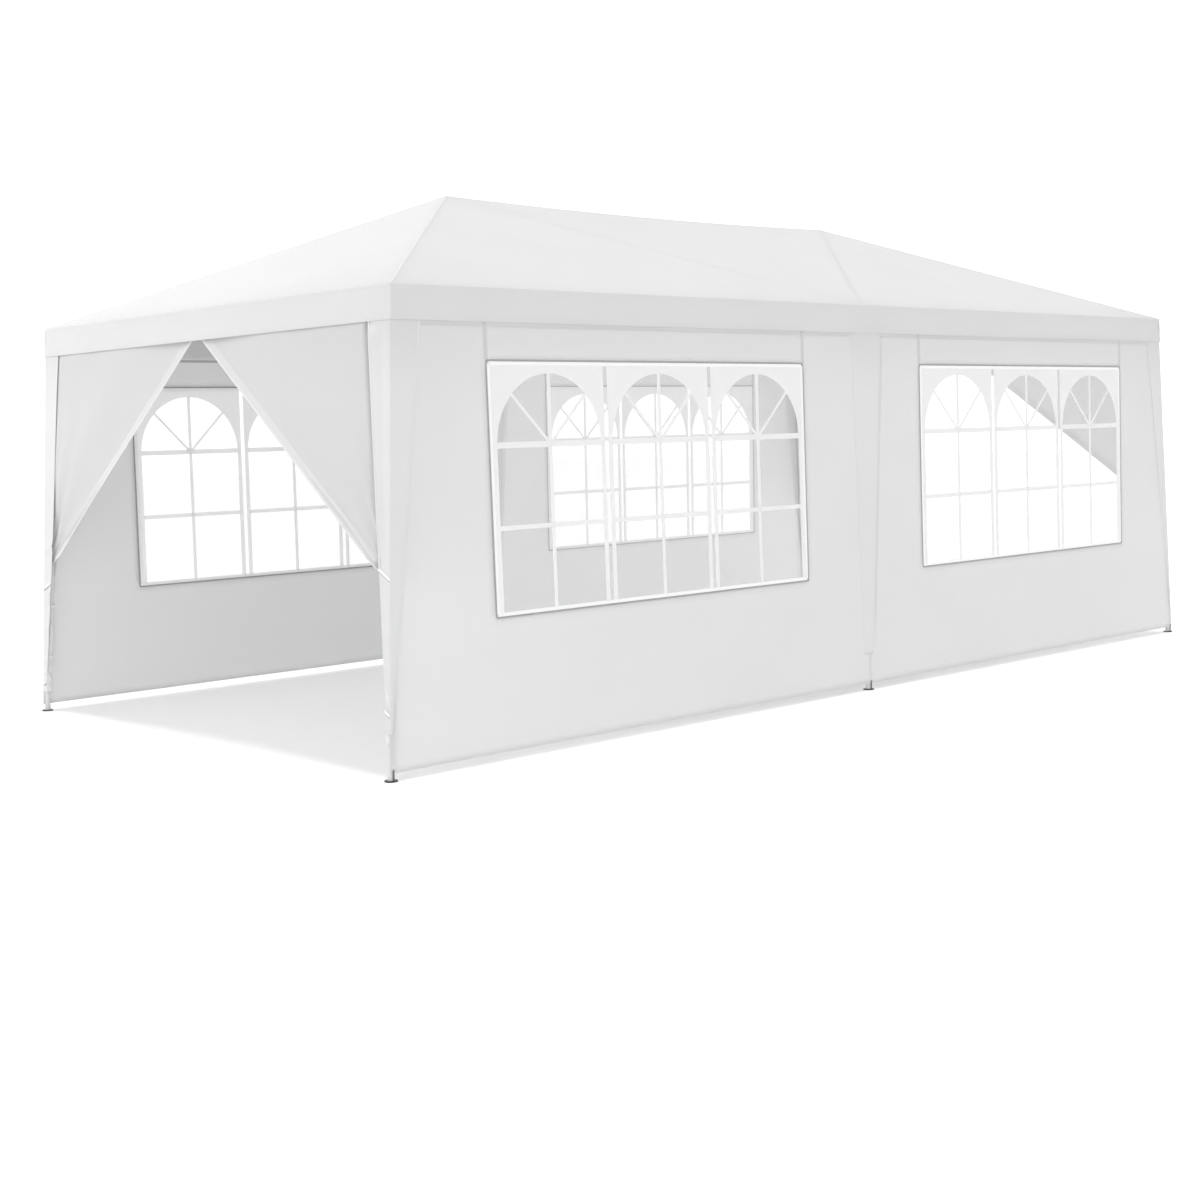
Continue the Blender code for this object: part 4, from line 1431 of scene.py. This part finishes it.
def roll_point(end, side, share, z, seed, slim):
    """A point of the rolled curtain. share runs along the sheet, from its start on the tube outwards."""
    twist = 2 * math.pi * z / ROLL_PITCH * side * end + seed
    angle = share * ROLL_TURNS * 2 * math.pi + twist
    inner = TUBE_RADIUS + 0.0006
    rough = noise.noise(Vector((math.cos(angle) * 2, math.sin(angle) * 2, z * 14 + seed)))
    wrinkle = WRINKLE_WAVE * math.sin(3 * (angle - twist) + 40 * z) + WRINKLE_ROUGH * rough
    room = max(0.0, bundle_reach(angle, z, slim) - inner)
    depth = min(room * 0.4, WRINKLE_DEPTH)
    reach = inner + room * (0.30 + 0.70 * share) + depth * (wrinkle / WRINKLE_WHOLE - 1) * share
    return round_leg(end, side, z, angle, reach)


def curtain_ties(name, end, side, slim):
    """Tapes tied round the bundle, each at a small tilt."""
    ties = Strips()
    for middle, slope in TIES:
        rings = []
        for i in range(TIE_STEPS):
            angle = 2 * math.pi * i / TIE_STEPS
            ring = []
            for rise, lift in TIE_SECTION:
                z = middle + slope * math.cos(angle) + rise
                ring.append(round_leg(end, side, z, angle, bundle_reach(angle, z, slim) - TIE_SINK + lift))
            rings.append(ties.ring(ring))
        ties.loft(rings, (0, TIE_WIDTH, TIE_WIDTH, 0), closed=True)
    return ties.piece(f"curtain_ties_{name}", TIE_TAPE)


def curtain_roll(end_name, side_name):
    end, side = ENDS[end_name], LONGS[side_name]
    name = f"{end_name}_{side_name}"
    seed, slim = ROLL_SEEDS[name], ROLL_SLIMNESS[name]
    bottom = ROLL_BOTTOMS[side_name]
    length = 2 * math.pi * ROLL_MEAN_RADIUS * ROLL_TURNS

    def place(share, z):
        low = smooth_step(bottom + 0.10, bottom, z)
        return roll_point(end, side, share, z + 0.006 * low * (1 + math.sin(share * 11 + seed)), seed, slim)

    columns = spread(0.0, 1.0, 1 / (28 * ROLL_TURNS))
    rows = spread(bottom, ROLL_TOP, 0.010)
    roll = sheet(f"curtain_roll_{name}", columns, rows, place, UP, ROLL_CLOTH, thickness=ROLL_THICKNESS,
                 cut=lambda share, z: (share * length, z))
    return roll, curtain_ties(name, end, side, slim), length


def build_curtain(end_name, side_name):
    name = f"{end_name}_{side_name}"
    flap, flap_trim = door_flap(end_name, side_name)
    roll, ties, length = curtain_roll(end_name, side_name)
    settle(flap, [f"curtain_{name}"])
    settle_all((*flap_trim, roll, ties))
    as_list(flap_trim)


# Frame


def round_pairs(ring):
    """Each vertex of a closed ring with the next one."""
    return list(zip(ring, ring[1:] + ring[:1]))


def bridge(bm, near, far):
    """Faces between two closed rings of vertices."""
    return [bm.faces.new((a, b, d, c)) for (a, b), (c, d) in zip(round_pairs(near), round_pairs(far))]


BRACKET_WIDTH, BRACKET_HEIGHT, BRACKET_THICKNESS = 0.007, 0.050, 0.0020
BRACKET_BASE = 0.010
BRACKET_HOLE_RADIUS = 0.0022
BOX_FACES = ((0, 1, 2, 3), (4, 5, 6, 7), (0, 1, 5, 4), (1, 2, 6, 5), (2, 3, 7, 6), (3, 0, 4, 7))


def bracket_outline():
    """The round-topped tab and its hole, as places across and up."""
    half, hole = BRACKET_WIDTH / 2, BRACKET_HOLE_RADIUS
    crown = BRACKET_HEIGHT - half
    rim = [(-half, FOOT_PLATE), (half, FOOT_PLATE), (half, crown)]
    rim += [(half * math.cos(a), crown + half * math.sin(a)) for a in spread(0, math.pi, 0.3)[1:-1]]
    rim += [(-half, crown)]
    eye = [(hole * math.cos(a), crown + hole * math.sin(a)) for a in spread(0, 2 * math.pi, 0.52)[:-1]]
    return rim, eye


def foot_brackets():
    """Upright tabs beside the legs, folded up from the foot plates, each with a hole for a guy line."""
    bm = bmesh.new()
    layer = bm.loops.layers.uv.new("cut")
    half = BRACKET_WIDTH / 2
    inner = leg_y(0.03) + WALL_LAYER + 0.0014
    for end in (-1, 0, 1):
        for side in LONGS.values():
            x = end * leg_x(0)
            made = []
            for depth in (inner, inner + BRACKET_THICKNESS):
                rings = [[bm.verts.new((x + a, side * depth, z)) for a, z in ring]
                         for ring in bracket_outline()]
                edges = [bm.edges.new(pair) for ring in rings for pair in round_pairs(ring)]
                bmesh.ops.triangle_fill(bm, edges=edges, use_beauty=True)
                made.append(rings)
            for near, far in zip(*made):
                bridge(bm, near, far)
            base = band_section(-half, half, side * (inner - BRACKET_BASE), side * inner)
            corners = [bm.verts.new((x + a, y, z)) for z in (FOOT_PLATE, FOOT_PLATE + BRACKET_THICKNESS)
                       for a, y in base]
            for quad in BOX_FACES:
                bm.faces.new([corners[i] for i in quad])
    bmesh.ops.recalc_face_normals(bm, faces=bm.faces)
    for face in bm.faces:
        lay_cut(face, layer, [(loop.vert.co.x, loop.vert.co.z) for loop in face.loops])
    settle(new_object("foot_brackets", mesh_of(bm, "foot_brackets"), TAB_STEEL))


LEG_JOINT_HEIGHT = 1.02
BEAD_OFFSETS = (-0.007, 0.007)


def leg_place(end, side, z):
    return Vector((end * leg_x(z), side * leg_y(z), z))


def tube_joints():
    """Where two lengths of tube meet: the middle of each leg, eave tube and rafter, as (place, direction)."""
    joints = []
    for end in (-1, 0, 1):
        for side in LONGS.values():
            joints.append((leg_place(end, side, LEG_JOINT_HEIGHT),
                           leg_place(end, side, 1.1) - leg_place(end, side, 1.0)))
            foot = Vector((end * EAVE_X, side * EAVE_Y, EAVE_Z))
            peak = Vector(((end or 1) * PEAK_X, 0, PEAK_Z))
            joints.append((foot.lerp(peak, 0.5), peak - foot))
            if end == 0:
                other = Vector((-PEAK_X, 0, PEAK_Z))
                joints.append((foot.lerp(other, 0.5), other - foot))
            else:
                joints.append((Vector((end * EAVE_X / 2, side * EAVE_Y, EAVE_Z)), Vector((1, 0, 0))))
        if end:
            joints.append((Vector((end * EAVE_X, 0, EAVE_Z)), Vector((0, 1, 0))))
    return joints


def tube_beads():
    """Two rolled beads beside each joint."""
    points, directions = [], []
    for place, direction in tube_joints():
        ahead = direction.normalized()
        for offset in BEAD_OFFSETS:
            points.append(place + ahead * offset)
            directions.append(ahead)
    settle(placed_piece("tube_joint_beads", BEADS, BEAD_SIZES, HUB_STEEL, points, directions))


# Rings of a snap button: radius, and rise off the tube. The button sits beyond the joint.
BUTTON_RINGS = ((0.0038, 0.0), (0.0038, 0.0016), (0.0030, 0.0028), (0.0015, 0.0034))
BUTTON_OFFSET = 0.030
BUTTON_SINK = 0.0008


def snap_buttons():
    """Sprung buttons that lock the tubes, on the side towards the tent's middle."""
    bm = bmesh.new()
    for place, direction in tube_joints():
        ahead = direction.normalized()
        inward = Vector((-place.x, -place.y, 0))
        inward = (inward - ahead * inward.dot(ahead)).normalized()
        across = ahead.cross(inward)
        centre = place + ahead * BUTTON_OFFSET + inward * (TUBE_RADIUS - BUTTON_SINK)
        rings = []
        for radius, rise in BUTTON_RINGS:
            middle = centre + inward * rise
            rings.append([bm.verts.new(middle + (ahead * math.cos(a) + across * math.sin(a)) * radius)
                          for a in spread(0, 2 * math.pi, 0.6)[:-1]])
        for low, high in zip(rings, rings[1:]):
            for face in bridge(bm, low, high):
                face.smooth = True
        bm.faces.new(rings[-1]).smooth = True
        bm.faces.new(list(reversed(rings[0])))
    bmesh.ops.recalc_face_normals(bm, faces=bm.faces)
    settle(new_object("snap_buttons", mesh_of(bm, "snap_buttons"), BUTTON_STEEL))


# Where the eave straps hang, as shares of a side from corner to corner
END_STRAP_SHARES = (0.16, 0.38, 0.62, 0.84)
LONG_STRAP_SHARES = (0.07, 0.19, 0.31, 0.43, 0.57, 0.69, 0.81, 0.93)
EAVE_STRAP_STEPS = 25
EAVE_STRAP_WIDTH = 0.020
EAVE_STRAP_SECTION = band_section(-EAVE_STRAP_WIDTH / 2, EAVE_STRAP_WIDTH / 2, 0.0, 0.0009)
# A strap's slack round the tube, how much its lap adds, and the room that the cloth outside leaves it
EAVE_STRAP_SLACK, EAVE_STRAP_LAP, EAVE_STRAP_ROOM = 0.0004, 0.0014, 0.0150


def eave_straps():
    """Hook-and-loop straps that hang the walls and curtains from the eave tubes."""
    straps = Strips()
    for side in SIDES:
        if side in ENDS:
            reach, run, shares = EAVE_Y, Vector((0, 1, 0)), END_STRAP_SHARES
        else:
            reach, run, shares = EAVE_X, Vector((1, 0, 0)), LONG_STRAP_SHARES
        out = facing(side)
        rise = out.cross(run).normalized()
        if rise.z < 0:
            rise = -rise
        for share in shares:
            centre = on_side(side, mixed(-reach, reach, share), EAVE_Z, 0.0)
            rings = []
            for i in range(EAVE_STRAP_STEPS):
                angle = 2 * math.pi * i / EAVE_STRAP_STEPS
                radius = TUBE_RADIUS + EAVE_STRAP_SLACK + (EAVE_STRAP_LAP if 4 < i < 14 else 0.0)
                turn = out * math.cos(angle) * min(1.0, EAVE_STRAP_ROOM / radius) + rise * math.sin(angle)
                rings.append(straps.ring([centre + turn * (radius + lift) + run * half
                                          for half, lift in EAVE_STRAP_SECTION]))
            straps.loft(rings, (0, EAVE_STRAP_WIDTH, EAVE_STRAP_WIDTH, 0), closed=True)
    settle(straps.piece("eave_straps", TIE_TAPE))


def finish_frame():
    """Small steel parts and straps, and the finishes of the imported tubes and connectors."""
    foot_brackets()
    tube_beads()
    snap_buttons()
    eave_straps()
    for name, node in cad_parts.items():
        if node.hide_render:
            continue
        finish = HUB_STEEL if name.startswith("connector") else TUBE_STEEL
        for slot in node.material_slots:
            slot.material = finish


build_roof()
for side_name in LONGS:
    for end_name in ENDS:
        side_wall(side_name, end_name)
    middle_skirt(side_name)
for end_name in ENDS:
    for side_name in LONGS:
        corner_skirt(end_name, side_name)
        gather_straps(end_name, side_name)
for end_name in ENDS:
    for side_name in LONGS:
        build_curtain(end_name, side_name)
finish_frame()


# Studio

FLOOR_HALF_SIZE = 60.0
FLOOR_GLOW = 0.215
# The room's light: level and overhead, front and back, and its walls at the right, the ends and the left
ROOM_HEIGHT_LIGHT = (1.15, 0.67)
ROOM_LENGTH_LIGHT = (1.05, 0.95)
ROOM_WALL_GREYS = (0.87, 1.0, 0.80)
SEEN_WHITE = 1.4
# The front soft box: place, aim, size and watts. The high lamp: strength and angle across.
SOFT_BOX_PLACE, SOFT_BOX_AIM = Vector((-6.6, 4.8, 5.2)), Vector((-3.0, 1.0, 2.0))
SOFT_BOX_SIZE, SOFT_BOX_POWER = 3.0, 142
HIGH_LAMP_STRENGTH, HIGH_LAMP_ANGLE = 0.88, math.radians(6)
# The camera: place, yaw from +Y towards +X, pitch, roll and lens, fitted to the photograph's perspective
CAMERA_PLACE = (-7.2539, -7.1828, 1.3747)
CAMERA_ANGLES = (43.26288, -5.42588, -1.61541)
CAMERA_LENS, CAMERA_SENSOR = 52.674, 36.0


def studio_floor():
    """A plain pale floor that glows a little, so that it stays white under the tent's bounce."""
    finish = Finish("studio_floor")
    cloud = finish.noise(finish.place(), 0.6)
    finish.set(base_color=finish.blend(finish.ramp(cloud, 0.0, 1.0), grey(0.86), grey(0.85)), roughness=0.9,
               specular_ior_level=0.1, emission_color=grey(1.0), emission_strength=FLOOR_GLOW)
    mesh = bpy.data.meshes.new("studio_floor")
    corners = band_section(-FLOOR_HALF_SIZE, FLOOR_HALF_SIZE, -FLOOR_HALF_SIZE, FLOOR_HALF_SIZE)
    mesh.from_pydata([(x, y, 0) for x, y in corners], [], [(0, 1, 2, 3)])
    floor = new_object("studio_floor", mesh, finish.material)
    return floor


def studio_room():
    """A white room, a little dimmer overhead and to the long sides. The camera sees it as plain white."""
    world = bpy.data.worlds.new("studio")
    world.use_nodes = True
    bpy.context.scene.world = world
    room = Nodes(world.node_tree)
    x, y, z = room.parts(room.add("ShaderNodeTexCoord").outputs["Generated"])
    height_light = room.ramp(room.math("MULTIPLY", z, z), *ROOM_HEIGHT_LIGHT, 0.0, 1.0)
    length_light = room.ramp(x, *ROOM_LENGTH_LIGHT, -1.0, 1.0)
    walls = room.add("ShaderNodeValToRGB")
    walls.color_ramp.elements.new(0.5)
    for stop, value in zip(walls.color_ramp.elements, ROOM_WALL_GREYS):
        stop.color = (*grey(value), 1)
    room.join(room.ramp(y, 0.0, 1.0, -1.0, 1.0), walls.inputs["Fac"])
    soft = room.nodes["Background"]
    room.join(walls.outputs["Color"], soft.inputs["Color"])
    room.join(room.math("MULTIPLY", height_light, length_light), soft.inputs["Strength"])
    seen = room.add("ShaderNodeBackground")
    room.give(grey(1), seen.inputs["Color"])
    room.give(SEEN_WHITE, seen.inputs["Strength"])
    camera_ray = room.add("ShaderNodeLightPath").outputs["Is Camera Ray"]
    room.join(room.mix(camera_ray, soft, seen), room.nodes["World Output"].inputs["Surface"])


def new_lamp(light):
    lamp = bpy.data.objects.new(light.name, light)
    bpy.context.scene.collection.objects.link(lamp)
    return lamp


def front_soft_box(floor):
    """A square studio light that the camera doesn't see. It lights the tent, but not the floor."""
    light = bpy.data.lights.new("front_soft_box", "AREA")
    light.shape = "SQUARE"
    light.size = SOFT_BOX_SIZE
    light.energy = SOFT_BOX_POWER
    lamp = new_lamp(light)
    lamp.location = SOFT_BOX_PLACE
    lamp.rotation_euler = (SOFT_BOX_PLACE - SOFT_BOX_AIM).to_track_quat("Z", "Y").to_euler()
    lamp.visible_camera = False
    shaded = bpy.data.collections.new("shaded_from_the_front")
    shaded.objects.link(floor)
    shaded.collection_objects[0].light_linking.link_state = "EXCLUDE"
    lamp.light_linking.receiver_collection = shaded


def high_lamp():
    light = bpy.data.lights.new("high_lamp", "SUN")
    light.energy = HIGH_LAMP_STRENGTH
    light.angle = HIGH_LAMP_ANGLE
    new_lamp(light)


def studio_camera():
    yaw, pitch, roll = (math.radians(a) for a in CAMERA_ANGLES)
    ahead = Vector((math.sin(yaw) * math.cos(pitch), math.cos(yaw) * math.cos(pitch), math.sin(pitch)))
    flat_right = Vector((math.cos(yaw), -math.sin(yaw), 0))
    above = flat_right.cross(ahead)
    right = flat_right * math.cos(roll) + above * math.sin(roll)
    top = above * math.cos(roll) - flat_right * math.sin(roll)
    lens = bpy.data.cameras.new("camera")
    lens.sensor_fit = "HORIZONTAL"
    lens.sensor_width = CAMERA_SENSOR
    lens.lens = CAMERA_LENS
    lens.clip_end = 200.0
    camera = bpy.data.objects.new("camera", lens)
    bpy.context.scene.collection.objects.link(camera)
    turn = Matrix((right, top, -ahead)).transposed().to_4x4()
    camera.matrix_world = Matrix.Translation(CAMERA_PLACE) @ turn
    bpy.context.scene.camera = camera


studio_room()
front_soft_box(studio_floor())
high_lamp()
studio_camera()
bpy.context.scene.view_settings.view_transform = "Standard"
